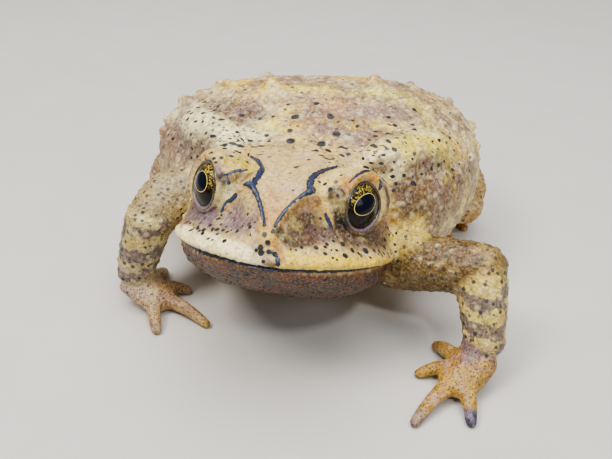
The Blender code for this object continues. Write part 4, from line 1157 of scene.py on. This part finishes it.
BODY_TICKS = (
    # arched dashes on the front of the glands: place, half length
    (10.4, -16.5, 34.0, 1.0), (12.1, -17.3, 33.7, 0.6), (9.5, -14.2, 34.2, 0.5), (11.1, -15.2, 35.2, 0.55),
    (12.5, -15.7, 35.3, 0.5), (13.5, -14.1, 36.0, 0.5), (14.8, -14.8, 35.8, 0.5), (12.3, -16.5, 34.9, 0.5),
    (14.1, -16.1, 34.9, 0.45), (10.5, -12.7, 35.0, 0.5), (-14.7, -17.7, 34.5, 1.0),
        (-14.0, -16.6, 34.8, 0.75),
    (-15.6, -16.9, 35.1, 0.55), (-17.0, -17.9, 34.0, 0.6), (-16.2, -18.4, 33.6, 0.6),
        (-14.2, -15.0, 35.1, 0.55),
    (-12.9, -14.6, 34.4, 0.5), (-17.5, -17.2, 34.5, 0.5), (-15.3, -15.6, 35.6, 0.5),
        (-11.7, -16.6, 34.1, 0.55),
    (-17.1, -16.3, 35.3, 0.4),
)
ink_curves = [
    np.column_stack([from_head(curve[:, :3]), curve[:, 3]]) for curve in map(curve_through, INK_LINES)
]
ROUND = (1.0, 0.0, 0.0, 1.0)
SPOT_GROWTH = {True: 1.25, False: 1.5}
face_spots = [(*from_head(spot[:3]), SPOT_GROWTH[spot[0] > 0] * spot[3], *ROUND) for spot in FACE_SPOTS]
face_spots += [(*spot, *ROUND) for spot in BODY_SPOTS]
face_spots += [(*tick[:3], 0.34 * tick[3], 1.0, 0.0, 0.0, 3.0) for tick in BODY_TICKS]


def tick_marks():
    """Short dark dashes on the glands and the nape, across the animal and a little arched."""
    local = to_head(flesh)
    line = np.array(((9.0, 25.0, 14.0, 1.0), (14.0, 27.5, 14.5, 1.0), (24.0, 40.0, 14.5, 1.0)))
    chance = bell(gap_to_curve(folded(local), line)[1], 3.3) * step(flesh[:, 2], 24.0, 28.0)
    draw = np.random.default_rng(31)
    marks = []
    for i in scatter(flesh, 0.9 * chance, 1.75, 32):
        turn = draw.normal(0.0, 0.35) - 0.5 * np.sign(local[i, 0])
        across = HEAD_TURN @ np.array((math.cos(turn), math.sin(turn), 0.0))
        marks.append((*flesh[i], 0.18 + 0.32 * draw.random() ** 2, *across, draw.uniform(1.2, 2.4)))
    return marks


print("spots of the body:", len(BODY_SPOTS))

# %% Dots along the lip
CHEEK_ALONG = (3.0, 5.2, 7.2, 10.5, 13.8, 18.4, 22.0)
CHEEK_ACROSS = (7.6, 10.6, 12.6, 15.4, 18.1, 19.8, 20.4)


def band_dots():
    """Small dark dots in a loose row along the top edge of the cream lip band, on both sides."""
    draw = np.random.default_rng(37)
    marks = []
    for side, count in ((1, 10), (-1, 30)):
        for y in np.linspace(6.5, 21.5, count):
            y = y + draw.normal(0.0, 0.2)
            x = np.interp(y, CHEEK_ALONG, CHEEK_ACROSS)
            z = np.interp(y, LIP_BAND_ALONG, LIP_BAND_TOP) - 0.3 + draw.normal(0.0, 0.55)
            marks.append((*from_head((side * x, y, z)), draw.uniform(0.2, 0.36), *ROUND))
    return marks


print("dots follow the lip for", CHEEK_ALONG[-1] - CHEEK_ALONG[0], "mm")


# %% Lay all marks onto the skin
def in_sets(spots, count=6):
    """Deals the spots into sets so that close neighbours fall in different ones."""
    sets = [[] for _ in range(count)]
    for spot in spots:
        room = [
            min((sum((spot[k] - other[k]) ** 2 for k in range(3)) for other in group), default=1e9)
            for group in sets
        ]
        sets[int(np.argmax(room))].append(spot)
    return sets


MARK_REACH = 2.5


def on_skin(marks):
    """Puts every mark exactly on the skin, along the camera's line of sight where that meets skin near it."""
    tree = BVHTree.FromPolygons(
        read_points(skin.data).tolist(), [list(polygon.vertices) for polygon in skin.data.polygons]
    )
    moved = []
    for mark in marks:
        place = Vector(mark[:3])
        hit = tree.ray_cast(Vector(CAMERA_PLACE), (place - Vector(CAMERA_PLACE)).normalized())[0]
        if hit is None or (hit - place).length > MARK_REACH:
            hit = tree.find_nearest(place)[0]
        moved.append((*hit, *mark[3:]))
    return moved


ticks = tick_marks()
spot_sets = in_sets(on_skin(face_spots + ticks + band_dots()))
ink_curves = [np.array(on_skin(curve.tolist())) for curve in ink_curves]
print("ink lines:", len(ink_curves), "face spots:", len(face_spots), "ticks:", len(ticks))

# %% [markdown]
# ## Bands and blotches
# The forelimbs carry mauve-grey crossbands, and the back is blotched. A band is a range of heights on the
# upright forearm. The blotches themselves are drawn in the shader by noise, and the mesh only says how much
# of each region they cover.

# %% How much of each pattern a place takes
BANDS = {
    # heights over the floor in mm, with half widths
    "left": ((23.2, 2.2), (16.5, 1.5), (12.2, 1.4), (8.4, 1.5)),
    "right": ((24.6, 2.0), (18.4, 1.6), (13.2, 1.5), (8.6, 1.2)),
}


def limb_bands(places, parts):
    cuff = parts["hand"] * step(places[:, 2], 5.5, 7.5)
    limb_part = np.clip(parts["forearm"] + 0.15 * parts["arm"] + cuff, 0, 1)
    bands = np.zeros(len(places))
    lean = places[:, 2] - 0.18 * (places[:, 1] + 30.0)
    for word, side in SIDES.items():
        mine = places[:, 0] * side > 22.0
        for height, width in BANDS[word]:
            bands = np.maximum(bands, mine * bell(lean - height, width) * limb_part)
    return bands


print("bands on the left forelimb:", len(BANDS["left"]))


# %% Write values onto a mesh
def store(mesh, name, kind, values):
    """Writes one value, arrow or colour for every point of the mesh."""
    made = mesh.attributes.new(name, kind, "POINT")
    key = {"FLOAT": "value", "FLOAT_VECTOR": "vector", "FLOAT_COLOR": "color"}[kind]
    made.data.foreach_set(key, np.asarray(values, np.float32).ravel())


FARTHEST = 50


def store_arrow(mesh, name, arrows):
    store(mesh, name, "FLOAT_VECTOR", np.clip(arrows, -FARTHEST, FARTHEST))
    store(mesh, name + "_far", "FLOAT", np.minimum(np.linalg.norm(arrows, axis=1), FARTHEST))


print("arrows are kept up to", FARTHEST, "radii long")

# %% Mark the skin
LIP_ACROSS = (-20, -12, -2, 1, 6, 14, 19)
LIP_LINE_WIDTH = (0.9, 1.25, 1.1, 1.2, 0.85, 0.7, 0.6)
OFF = 9.0


def mark(mesh, softness=5):
    """Puts every pattern's values on a mesh, from its places alone, so all pieces of skin agree."""
    places = read_points(mesh)
    parts = part_weights(places, read_edges(mesh), softness)
    local = to_head(places)
    x, y, height = places[:, 0], local[:, 1], places[:, 2]
    store(mesh, "tone", "FLOAT_COLOR", np.column_stack([ground_colour(places, parts), np.ones(len(places))]))
    ink, far = gap_to_curve(places, ink_curves[0])
    for curve in ink_curves[1:]:
        arrow, size = gap_to_curve(places, curve)
        ink = np.where((size < far)[:, None], arrow, ink)
        far = np.minimum(size, far)
    store_arrow(mesh, "ink", ink)
    for number, spots in enumerate(spot_sets):
        store_arrow(mesh, f"dot_{number}", gap_to_spots(places, spots)[0])
    tip, _, which = gap_to_spots(places, big + middle)
    store_arrow(mesh, "wart", tip)

    face = np.clip(parts["head"], 0, 1) * step(y, 27.0, 22.0) + 0.6 * parts["jaw"]
    smooth = face + parts["hand"] + 0.8 * parts["arm"] + 0.5 * parts["forearm"] + 0.7 * parts["foot"]
    granular = parts["jaw"] + 0.6 * parts["arm"] + 0.35 * parts["trunk"] * step(height, 28.0, 18.0)
    trunk = np.clip(parts["trunk"] + parts["gland"], 0, 1)
    blotch = (trunk - 0.6 * parts["gland"]) * (0.25 + 0.55 * step(height, 8.0, 16.0))
    speck = 0.3 * parts["trunk"] + 0.6 * parts["gland"] + 0.5 * (parts["arm"] + parts["forearm"])
    speck = speck + 0.15 * parts["hand"] + 0.4 * parts["leg"] + 0.5 * parts["foot"]
    shares = {
        "coarse": 1 - smooth,
        "granular": granular + 0.3 * parts["leg"] + 0.25 * parts["forearm"],
        "limb": parts["forearm"] + 0.8 * parts["arm"] + 0.5 * parts["leg"],
        "dotted": parts["hand"] + 0.8 * parts["foot"],
        "blotch": blotch + 0.5 * parts["leg"],
        "speck": speck + 0.3 * bell(distance(folded(local), (16.5, 15, 3.5)), 5.0) * parts["head"],
    }
    levels = {name: np.clip(share, 0, 1) for name, share in shares.items()}
    levels["wart_kind"] = wart_kind[which]
    levels["band"] = limb_bands(places, parts)
    wrist = bell(height - WRIST_HEIGHT, 2.2) * np.clip(parts["hand"] + parts["forearm"], 0, 1)
    levels["wrist"] = wrist * step(x, 20.0, 26.0)
    lip = (local[:, 2] - lip_height(y)) / np.interp(local[:, 0], LIP_ACROSS, LIP_LINE_WIDTH)
    on_head = np.clip(parts["head"] + parts["jaw"], 0, 1) > 0.02
    levels["lip"] = np.where(on_head, lip, OFF) + OFF * (1 - step(y, 23.5, 21.0))
    for name, values in levels.items():
        store(mesh, name, "FLOAT", values)
    return parts


draw = np.random.default_rng(21)
wart_kind = draw.random(len(big) + len(middle))
parts = mark(skin.data)
print("marked points:", len(skin.data.vertices), "attributes:", len(skin.data.attributes))

# %% [markdown]
# ## The skin's finish
# Toad skin is dry but not dull: each granule catches a soft light, and a little light goes into the flesh.
# The finish is built in layers over the ground colour: mottling, blotches, bands, pebbles with dark grooves,
# pale warts with dark tips, specks, then the spots and lines of horn, and the dark edge of the lip.


# %% Reading an arrow from the mesh
def mark_gap(tree, name, margin=1.4):
    """The length of a stored arrow. Halfway between two marks the arrow swings round and would pass through
    nothing, so the plain distance, less a margin, stands in for it there."""
    arrow = add_node(tree, "ShaderNodeVectorMath", {"operation": "LENGTH"}, _0=stored(tree, name, "Vector"))
    far = maths(tree, "SUBTRACT", stored(tree, name + "_far"), margin)
    return maths(tree, "MAXIMUM", arrow.outputs["Value"], far)


def cells(tree, place, scale, loose=1.0):
    """Cells round scattered points. A lower looseness spaces them more evenly."""
    return add_node(tree, "ShaderNodeTexVoronoi", Vector=place, Scale=scale, Randomness=loose)


print("mark readers ready")


# %% Skin: the mottled ground
def mottled(tree, place, colour, patchy):
    """Broad warm clouds, dark and light patches, and turns of hue to sallow and to mauve."""
    broad = noise(tree, place, 95, 4, 0.6, 0.4)
    colour = blend(tree, ramp(tree, broad, 0.35, 0.7), colour, tint(176, 150, 118), "SOFT_LIGHT")
    darker = blend(tree, 0.34, colour, tint(96, 70, 58), "MULTIPLY")
    colour = blend(tree, ramp(tree, patchy, 0.5, 0.72), colour, darker)
    lighter = blend(tree, 0.35, colour, tint(244, 232, 200))
    light_share = maths(tree, "MULTIPLY_ADD", stored(tree, "coarse"), 0.7, 0.3)
    colour = blend(tree, product(tree, ramp(tree, patchy, 0.46, 0.3), light_share), colour, lighter)
    hue = noise(tree, place, 210, 5, 0.62, 0.4)
    sallow = blend(tree, 0.34, colour, tint(214, 186, 92))
    colour = blend(tree, ramp(tree, hue, 0.52, 0.66), colour, sallow)
    bruised = blend(tree, 0.36, colour, tint(168, 140, 146))
    bare = maths(tree, "MULTIPLY_ADD", stored(tree, "limb"), -0.9, 1.0)
    bare = product(tree, bare, ramp(tree, stored(tree, "granular"), 1.0, 0.6))
    return blend(tree, product(tree, ramp(tree, hue, 0.46, 0.32), bare), colour, bruised)


print("mottled ground ready")


# %% Skin: blotches, bands and streaks
def blotched(tree, place, colour):
    """Brown blotches with cream between them, on the trunk and the legs."""
    cover = stored(tree, "blotch")
    patch = roughened(tree, noise(tree, place, 140, 5, 0.62, 0.6), cover, 0.16)
    patch = product(tree, ramp(tree, patch, 0.51, 0.6), ramp(tree, cover, 0.02, 0.3))
    colour = blend(tree, product(tree, patch, 0.72), colour, tint(124, 90, 80))
    cream = ramp(tree, noise(tree, place, 115, 4, 0.6, 0.5), 0.53, 0.64)
    return blend(tree, product(tree, product(tree, cream, cover), 0.6), colour, tint(236, 222, 164))


def stretched(tree, place, height):
    """Places pulled out along z, which draws a noise out level or, below 1, upright."""
    return add_node(tree, "ShaderNodeMapping", Vector=place, Scale=(1.0, 1.0, height)).outputs["Vector"]


def banded(tree, place, colour, patchy):
    """Ragged dark bands round the forelimbs, and level streaks on the left wrist."""
    band = stored(tree, "band")
    ragged_band = product(tree, ramp(tree, band, 0.04, 0.25), maths(tree, "SUBTRACT", patchy, 0.5))
    band = maths(tree, "MULTIPLY_ADD", ragged_band, 4.6, band)
    colour = blend(tree, product(tree, ramp(tree, band, 0.4, 0.75), 0.84), colour, tint(84, 64, 76))
    streaks = noise(tree, stretched(tree, place, 4.5), 420, 3, 0.6)
    streaks = product(tree, ramp(tree, streaks, 0.42, 0.58), stored(tree, "wrist"))
    return blend(tree, product(tree, streaks, 0.75), colour, tint(112, 74, 96))


print("blotches and bands ready")


# %% Skin: pebbles and granules
def pebbled(tree, place, colour):
    """Pebbles with dark grooves and a fine stipple. The grooves are given back for the relief."""
    coarse = stored(tree, "coarse")
    pebbles = cells(tree, place, 820)
    groove = ramp(tree, pebbles.outputs["Distance"], 0.28, 0.72)
    grooved = blend(tree, 0.42, colour, tint(104, 78, 62), "MULTIPLY")
    part_coarse = maths(tree, "MULTIPLY_ADD", coarse, 0.6, 0.3)
    colour = blend(tree, product(tree, groove, part_coarse), colour, grooved)
    shade = add_node(tree, "ShaderNodeSeparateColor", _0=pebbles.outputs["Color"]).outputs[0]
    pale = blend(tree, 0.24, colour, tint(248, 238, 200))
    bright = product(tree, ramp(tree, shade, 0.55, 0.95), maths(tree, "SUBTRACT", 1.0, groove))
    colour = blend(tree, product(tree, product(tree, bright, coarse), 0.6), colour, pale)
    stipple = noise(tree, place, 1900, 3, 0.7)
    peppered = blend(tree, 0.62, colour, tint(104, 68, 62), "MULTIPLY")
    colour = blend(tree, ramp(tree, stipple, 0.5, 0.66), colour, peppered)
    chalky = blend(tree, 0.16, colour, tint(250, 236, 200))
    return blend(tree, ramp(tree, stipple, 0.46, 0.34), colour, chalky), groove


def granulated(tree, place, colour):
    """Olive skin with small granules, most of all on the jaw, where the olive multiply is also painted shade.
    """
    granular = stored(tree, "granular")
    # on the jaw this multiply darkens the throat as painted shade; elsewhere it is the skin's olive
    olive = blend(tree, 1.0, colour, tint(186, 98, 26), "MULTIPLY")
    colour = blend(tree, ramp(tree, granular, 0.45, 0.95), colour, olive)
    granules = cells(tree, place, 1500, 0.6)
    granules = product(tree, ramp(tree, granules.outputs["Distance"], 0.46, 0.2), granular)
    beaded = blend(tree, 0.34, colour, tint(190, 148, 66))
    return blend(tree, granules, colour, beaded), granules


print("pebbles and granules ready")


# %% Skin: dots of the limbs, warts and flecks
def limb_dots(tree, place, colour):
    """Fine dots close together on the hands and feet, and wide ones on the limbs."""
    limb = stored(tree, "limb")
    dotted = maths(tree, "MAXIMUM", stored(tree, "dotted"), product(tree, limb, 0.3))
    fine_dots = cells(tree, place, 1700, 0.7)
    fine_dots = product(tree, ramp(tree, fine_dots.outputs["Distance"], 0.34, 0.22), dotted)
    colour = blend(tree, product(tree, fine_dots, 0.95), colour, tint(44, 24, 26))
    wide_dots = ramp(tree, cells(tree, place, 580, 0.8).outputs["Distance"], 0.28, 0.2)
    wide_dots = product(tree, wide_dots, ramp(tree, limb, 0.05, 0.4))
    return blend(tree, product(tree, wide_dots, 0.9), colour, tint(30, 22, 26))


def warty(tree, colour, ragged):
    """Pale domes on some warts and dark tips on others. The tips are given back for the gloss."""
    wart = mark_gap(tree, "wart")
    kind = stored(tree, "wart_kind")
    dome = product(tree, ramp(tree, wart, 1.05, 0.35), ramp(tree, kind, 0.75, 0.35))
    dome = product(tree, dome, ramp(tree, stored(tree, "granular"), 1.0, 0.6))
    colour = blend(tree, dome, colour, blend(tree, 0.34, colour, tint(236, 214, 160)))
    tip = ramp(tree, roughened(tree, wart, ragged, 0.5), 0.5, 0.34)
    tip = product(tree, tip, ramp(tree, kind, 0.5, 0.56))
    return blend(tree, product(tree, tip, 0.88), colour, tint(34, 26, 26)), tip


def flecked(tree, place, colour, ragged):
    """Dark flecks. Where the skin is specked, more of the scattered cells show one."""
    dust = cells(tree, place, 560)
    chosen = add_node(tree, "ShaderNodeSeparateColor", _0=dust.outputs["Color"]).outputs[1]
    amount = product(tree, stored(tree, "speck"), 0.55)
    chosen = ramp(tree, maths(tree, "ADD", chosen, amount), 0.93, 0.97)
    dusty = roughened(tree, dust.outputs["Distance"], ragged, 0.25)
    fleck = product(tree, ramp(tree, dusty, 0.27, 0.19), chosen)
    return blend(tree, product(tree, fleck, 0.86), colour, tint(38, 30, 30))


print("dots, warts and flecks ready")


# %% Skin: spots, ink lines and the lip
SPOT_MARGIN = 2.4


def spotted(tree, colour, ragged):
    dot = mark_gap(tree, "dot_0", SPOT_MARGIN)
    for number in range(1, len(spot_sets)):
        dot = maths(tree, "MINIMUM", dot, mark_gap(tree, f"dot_{number}", SPOT_MARGIN))
    dot = roughened(tree, dot, ragged, 0.5)
    return blend(tree, ramp(tree, dot, 1.15, 0.85), colour, tint(14, 11, 16))


def inked(tree, colour, ragged):
    """Horny lines, black at the edge, with painted sheen making them blue black in the middle."""
    ink = roughened(tree, mark_gap(tree, "ink"), ragged, 1.7)
    line = ramp(tree, ink, 1.16, 0.9)
    # painted sheen: the blue in the middle of each line stands in for a reflection on the wet crest
    horn_and_sheen = blend(tree, ramp(tree, ink, 0.85, 0.35), tint(9, 10, 16), tint(32, 44, 72))
    return blend(tree, line, colour, horn_and_sheen), line


def lipped(tree, place, colour):
    """The dark edge of the lip, with a brown shade under it that frays like a fringe."""
    fringe = noise(tree, stretched(tree, place, 0.22), 1500, 3, 0.6)
    striped = roughened(tree, stored(tree, "lip"), fringe, 1.0)
    under = product(tree, ramp(tree, striped, -1.15, -0.7), ramp(tree, striped, -0.1, -0.3))
    colour = blend(tree, product(tree, under, 0.35), colour, tint(104, 70, 40))
    edge = product(tree, ramp(tree, striped, -0.42, -0.28), ramp(tree, striped, 0.42, 0.26))
    return blend(tree, edge, colour, tint(16, 20, 38)), edge


print("spots, ink and lip ready")


# %% Skin material
def skin_material():
    made, tree, shader = new_material("toad_skin")
    place = object_place(tree)
    patchy = noise(tree, place, 330, 5, 0.65)
    ragged = noise(tree, place, 1700, 3, 0.6)
    colour = mottled(tree, place, stored(tree, "tone", "Color"), patchy)
    colour = banded(tree, place, blotched(tree, place, colour), patchy)
    colour, groove = pebbled(tree, place, colour)
    colour, granules = granulated(tree, place, colour)
    colour, tip = warty(tree, limb_dots(tree, place, colour), ragged)
    colour = spotted(tree, flecked(tree, place, colour, ragged), ragged)
    colour, line = inked(tree, colour, ragged)
    colour, edge = lipped(tree, place, colour)

    horny = maths(tree, "MAXIMUM", line, maths(tree, "MAXIMUM", tip, edge))
    rough = maths(tree, "MULTIPLY_ADD", patchy, 0.3, 0.36)
    rough = maths(tree, "MULTIPLY_ADD", horny, -0.14, rough)
    fine_noise = noise(tree, place, 3400, 3, 0.6)
    relief = maths(tree, "MULTIPLY_ADD", groove, -1.0, product(tree, fine_noise, 0.35))
    relief = maths(tree, "MULTIPLY_ADD", horny, 0.4, relief)
    relief = maths(tree, "MULTIPLY_ADD", granules, 0.8, relief)
    bump = add_node(tree, "ShaderNodeBump", Strength=0.7, Distance=0.00016, Height=relief)
    set_inputs(
        tree, shader, Base_Color=colour, Roughness=rough, Normal=bump.outputs["Normal"],
        Specular_IOR_Level=0.42, Subsurface_Weight=0.06, Subsurface_Radius=(1.0, 0.45, 0.25),
        Subsurface_Scale=0.0012,
    )
    return made


skin_finish = skin_material()
skin.data.materials.append(skin_finish)
print("skin material nodes:", len(skin_finish.node_tree.nodes))

# %% [markdown]
# ## Eyes
# A toad's eye is a wet ball with a horizontal pupil in a thin gold ring. The iris round it is nearly black,
# with gold flecks above the pupil. The ball carries an arrow at every point, which way it lies from the
# pupil's middle, and the shader draws pupil, ring and iris from that arrow.

# %% Eyeballs
PUPIL_AXIS = (0.646, -0.718, 0.259)
PUPIL_TILT = {"left": math.radians(13.0), "right": math.radians(-27.0)}
PUPIL_STRETCH = {"left": 1.0, "right": 1.28}
# How far the pupil reaches from its middle, in degrees, along its length and across it.
PUPIL_REACH = (25.5, 16.8)


def pupil_axes(word):
    side = SIDES[word]
    ahead = (np.array(PUPIL_AXIS) * (side, 1, 1)) @ HEAD_TURN.T
    ahead /= np.linalg.norm(ahead)
    level = np.cross((0, 0, 1), ahead)
    level /= np.linalg.norm(level)
    steep = np.cross(ahead, level)
    turn = PUPIL_TILT[word]
    return np.array((
        level * math.cos(turn) + steep * math.sin(turn),
        steep * math.cos(turn) - level * math.sin(turn),
        ahead,
    ))


def eyeball(word):
    side = SIDES[word]
    centre, _ = eye_frame(side)
    shape = bmesh.new()
    bmesh.ops.create_icosphere(shape, subdivisions=5, radius=EYE_RADIUS * MM)
    mesh = bpy.data.meshes.new("eyeball_" + word)
    shape.to_mesh(mesh)
    shape.free()
    ball = read_points(mesh)
    gaze = (ball / EYE_RADIUS) @ pupil_axes(word).T
    store(mesh, "gaze", "FLOAT_VECTOR", gaze * (PUPIL_STRETCH[word], 1, 1))
    write_points(mesh, ball + centre)
    shade_smooth(mesh)
    return new_object("eyeball_" + word, mesh)


print("pupil reaches in degrees:", PUPIL_REACH)


# %% Wet eye material
def eye_material():
    made, tree, shader = new_material("wet_eye")
    place = object_place(tree)
    gaze = add_node(tree, "ShaderNodeSeparateXYZ", Vector=stored(tree, "gaze", "Vector"))
    ahead = maths(tree, "MAXIMUM", gaze.outputs["Z"], 0.08)
    x = maths(tree, "DIVIDE", gaze.outputs["X"], ahead)
    y = maths(tree, "DIVIDE", gaze.outputs["Y"], ahead)
    wide = maths(tree, "DIVIDE", x, math.tan(math.radians(PUPIL_REACH[0])))
    tall = maths(tree, "DIVIDE", y, math.tan(math.radians(PUPIL_REACH[1])))
    reach = maths(tree, "SQRT", maths(tree, "ADD", product(tree, wide, wide), product(tree, tall, tall)))
    grain = noise(tree, place, 2600, 4, 0.7)
    veins = noise(tree, place, 900, 4, 0.6, 1.2)
    iris = blend(tree, ramp(tree, veins, 0.48, 0.64), tint(8, 6, 7), tint(24, 18, 11))
    flecked = product(tree, ramp(tree, grain, 0.5, 0.62), ramp(tree, y, 0.1, 0.42))
    iris = blend(tree, product(tree, flecked, 0.9), iris, tint(206, 176, 62))
    olive = product(tree, ramp(tree, veins, 0.5, 0.64), ramp(tree, y, -0.1, -0.5))
    iris = blend(tree, product(tree, olive, 0.15), iris, tint(58, 46, 26))
    rim = ramp(tree, reach, 2.6, 3.6)
    iris = blend(tree, rim, iris, tint(14, 12, 14))
    wavy = roughened(tree, reach, grain, 0.06)
    ring = product(tree, ramp(tree, wavy, 0.985, 1.0), ramp(tree, wavy, 1.05, 1.03))
    iris = blend(tree, ring, iris, tint(226, 196, 96))
    colour = blend(tree, ramp(tree, wavy, 0.985, 0.955), iris, tint(4, 6, 20))
    set_inputs(
        tree, shader, Base_Color=colour, Roughness=0.3, Specular_IOR_Level=0.05,
        Coat_Weight=1.0, Coat_Roughness=0.02, Coat_IOR=1.19,
    )
    return made


wet_eye = eye_material()
eyes = {word: eyeball(word) for word in SIDES}
for ball in eyes.values():
    ball.data.materials.append(wet_eye)
print("eyes:", [len(ball.data.polygons) for ball in eyes.values()])

# %% [markdown]
# ## Lid rims
# The edge of each lid is a smooth moist roll of bare skin, lavender below and dark above. It is a closed tube
# that follows the opening just outside the eyeball, and it also hides where the skin dives under the ball.


# %% Lid rims
RIM_GAP = 0.12


def lid_rim(word, around=72, sides=10, thick=0.3):
    side = SIDES[word]
    centre, axes = eye_frame(side)
    turn = np.linspace(0, 2 * np.pi, around, endpoint=False)
    ray = np.column_stack([OPENING[0] * np.cos(turn), OPENING[1] * np.sin(turn), np.ones(around)])
    ray = ray / np.linalg.norm(ray, axis=1)[:, None]
    path = centre + (ray @ axes) * (EYE_RADIUS + RIM_GAP)
    outward = ray @ axes
    along = np.roll(path, -1, axis=0) - np.roll(path, 1, axis=0)
    along /= np.linalg.norm(along, axis=1)[:, None]
    aside = np.cross(along, outward)
    rings = [
        path + thick * (outward * math.cos(angle) + 1.25 * aside * math.sin(angle))
        for angle in np.linspace(0, 2 * np.pi, sides, endpoint=False)
    ]
    points = np.stack(rings, axis=1).reshape(-1, 3)
    faces = [
        (i * sides + k, i * sides + (k + 1) % sides, (i + 1) % around * sides + (k + 1) % sides,
         (i + 1) % around * sides + k)
        for i in range(around)
        for k in range(sides)
    ]
    mesh = make_mesh("lid_rim_" + word, points, faces)
    shape = bmesh.new()
    shape.from_mesh(mesh)
    bmesh.ops.recalc_face_normals(shape, faces=shape.faces)
    shape.to_mesh(mesh)
    shape.free()
    low = step(np.repeat(ray @ axes @ (0, 0, 1), sides), -0.1, -0.5)
    store(mesh, "low", "FLOAT", low)
    shade_smooth(mesh)
    return new_object("lid_rim_" + word, mesh)


print("rims stand", RIM_GAP, "mm off the eyeballs")


# %% Moist lid material
def rim_material():
    made, tree, shader = new_material("moist_lid")
    place = object_place(tree)
    low = stored(tree, "low")
    fleck = noise(tree, place, 1500, 4, 0.6)
    dark = blend(tree, ramp(tree, fleck, 0.42, 0.6), tint(34, 27, 24), tint(84, 62, 42))
    pale = blend(tree, ramp(tree, fleck, 0.4, 0.62), tint(150, 124, 134), tint(104, 82, 88))
    colour = blend(tree, low, dark, pale)
    rough = maths(tree, "MULTIPLY_ADD", fleck, 0.2, 0.2)
    bump = add_node(tree, "ShaderNodeBump", Strength=0.4, Distance=0.00006, Height=fleck)
    set_inputs(
        tree, shader, Base_Color=colour, Roughness=rough, Normal=bump.outputs["Normal"],
        Coat_Weight=0.4, Coat_Roughness=0.15,
    )
    return made


moist_lid = rim_material()
rims = {word: lid_rim(word) for word in SIDES}
for rim in rims.values():
    rim.data.materials.append(moist_lid)
print("lid rims:", len(rims))

# %% [markdown]
# ## Pearls
# Up close the skin carries hundreds of tiny beads. They are the same little shape set again and again, so
# Geometry Nodes place them: a density kept on the skin says where they stand close and where there are none.


# %% Geometry Nodes: beads on a surface
# The most beads that may stand on a square metre of skin.
BEAD_DENSITY = 900000.0


def socket(tree, name, kind, default):
    made = tree.interface.new_socket(name, in_out="INPUT", socket_type=kind)
    made.default_value = default
    return made.identifier


def bead_tree():
    tree = bpy.data.node_groups.new("beads_on_skin", "GeometryNodeTree")
    tree.interface.new_socket("Geometry", in_out="INPUT", socket_type="NodeSocketGeometry")
    ids = {
        "spacing": socket(tree, "Spacing", "NodeSocketFloat", 0.0013),
        "radius": socket(tree, "Bead radius", "NodeSocketFloat", 0.0004),
        "height": socket(tree, "Bead height", "NodeSocketFloat", 0.6),
        "seed": socket(tree, "Seed", "NodeSocketInt", 1),
    }
    finish = tree.interface.new_socket("Finish", in_out="INPUT", socket_type="NodeSocketMaterial")
    ids["finish"] = finish.identifier
    tree.interface.new_socket("Geometry", in_out="OUTPUT", socket_type="NodeSocketGeometry")
    given = tree.nodes.new("NodeGroupInput").outputs
    density = add_node(tree, "GeometryNodeInputNamedAttribute", {"data_type": "FLOAT"}, Name="bead")
    spread = add_node(
        tree, "GeometryNodeDistributePointsOnFaces", {"distribute_method": "POISSON"},
        Mesh=given["Geometry"], Distance_Min=given["Spacing"], Density_Max=BEAD_DENSITY,
        Density_Factor=density.outputs["Attribute"], Seed=given["Seed"],
    )
    bead = add_node(tree, "GeometryNodeMeshIcoSphere", Radius=given["Bead radius"], Subdivisions=2)
    flatten = add_node(tree, "ShaderNodeCombineXYZ", X=1.0, Y=1.0, Z=given["Bead height"])
    bead = add_node(
        tree, "GeometryNodeTransform", Geometry=bead.outputs["Mesh"], Scale=flatten.outputs["Vector"]
    )
    size = add_node(
        tree, "FunctionNodeRandomValue", {"data_type": "FLOAT"}, _2=0.55, _3=1.15, Seed=given["Seed"]
    )
    placed = add_node(
        tree, "GeometryNodeInstanceOnPoints", Points=spread.outputs["Points"],
        Instance=bead.outputs["Geometry"], Rotation=spread.outputs["Rotation"], Scale=size.outputs[1],
    )
    real = add_node(tree, "GeometryNodeRealizeInstances", Geometry=placed.outputs["Instances"])
    smooth = add_node(tree, "GeometryNodeSetShadeSmooth", Geometry=real.outputs["Geometry"])
    finish = add_node(
        tree, "GeometryNodeSetMaterial", Geometry=smooth.outputs["Geometry"], Material=given["Finish"]
    )
    out = tree.nodes.new("NodeGroupOutput")
    tree.links.new(finish.outputs["Geometry"], out.inputs["Geometry"])
    return tree, ids


print("bead tree ready")


# %% From the tree to a plain mesh
def grown(name, base, tree, ids, **values):
    """A plain mesh from a Geometry Nodes tree on a copy of the base object."""
    helper = new_object(name, base.data.copy())
    modifier = helper.modifiers.new("grow", "NODES")
    modifier.node_group = tree
    for key, value in values.items():
        modifier[ids[key]] = value
    graph = bpy.context.evaluated_depsgraph_get()
    mesh = bpy.data.meshes.new_from_object(helper.evaluated_get(graph))
    helper.modifiers.clear()
    helper.data = mesh
    mesh.name = name
    return helper


print("growing ready")

# %% Grow the pearls
beads, bead_ids = bead_tree()
skin_places = read_points(skin.data)
local = to_head(skin_places)
cheek = bell(distance(folded(local), (21.5, 23.5, 1.0)), 4.0)
bead_amount = 0.9 * cheek + 0.16 * parts["arm"] + 0.1 * parts["trunk"] * step(skin_places[:, 2], 4, 12)
bead_amount = bead_amount + 0.5 * parts["jaw"] + 0.06 * parts["leg"]
store(skin.data, "bead", "FLOAT", np.clip(bead_amount, 0, 1) * (1 - step(skin_places[:, 2], 2.5, 1.0)))
pearls = grown(
    "skin_pearls", skin, beads, bead_ids,
    spacing=0.0009, radius=0.00026, height=0.6, seed=4, finish=skin_finish,
)
print("pearl triangles:", triangles(pearls.data))
if "tone" not in pearls.data.attributes:
    mark(pearls.data, 0)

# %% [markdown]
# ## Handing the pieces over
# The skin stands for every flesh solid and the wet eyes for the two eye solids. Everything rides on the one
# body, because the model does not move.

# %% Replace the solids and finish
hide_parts(*FLESH)
for word, ball in eyes.items():
    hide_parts("eye_" + word)
for piece in [skin, pearls, *eyes.values(), *rims.values()]:
    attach(piece, "root")
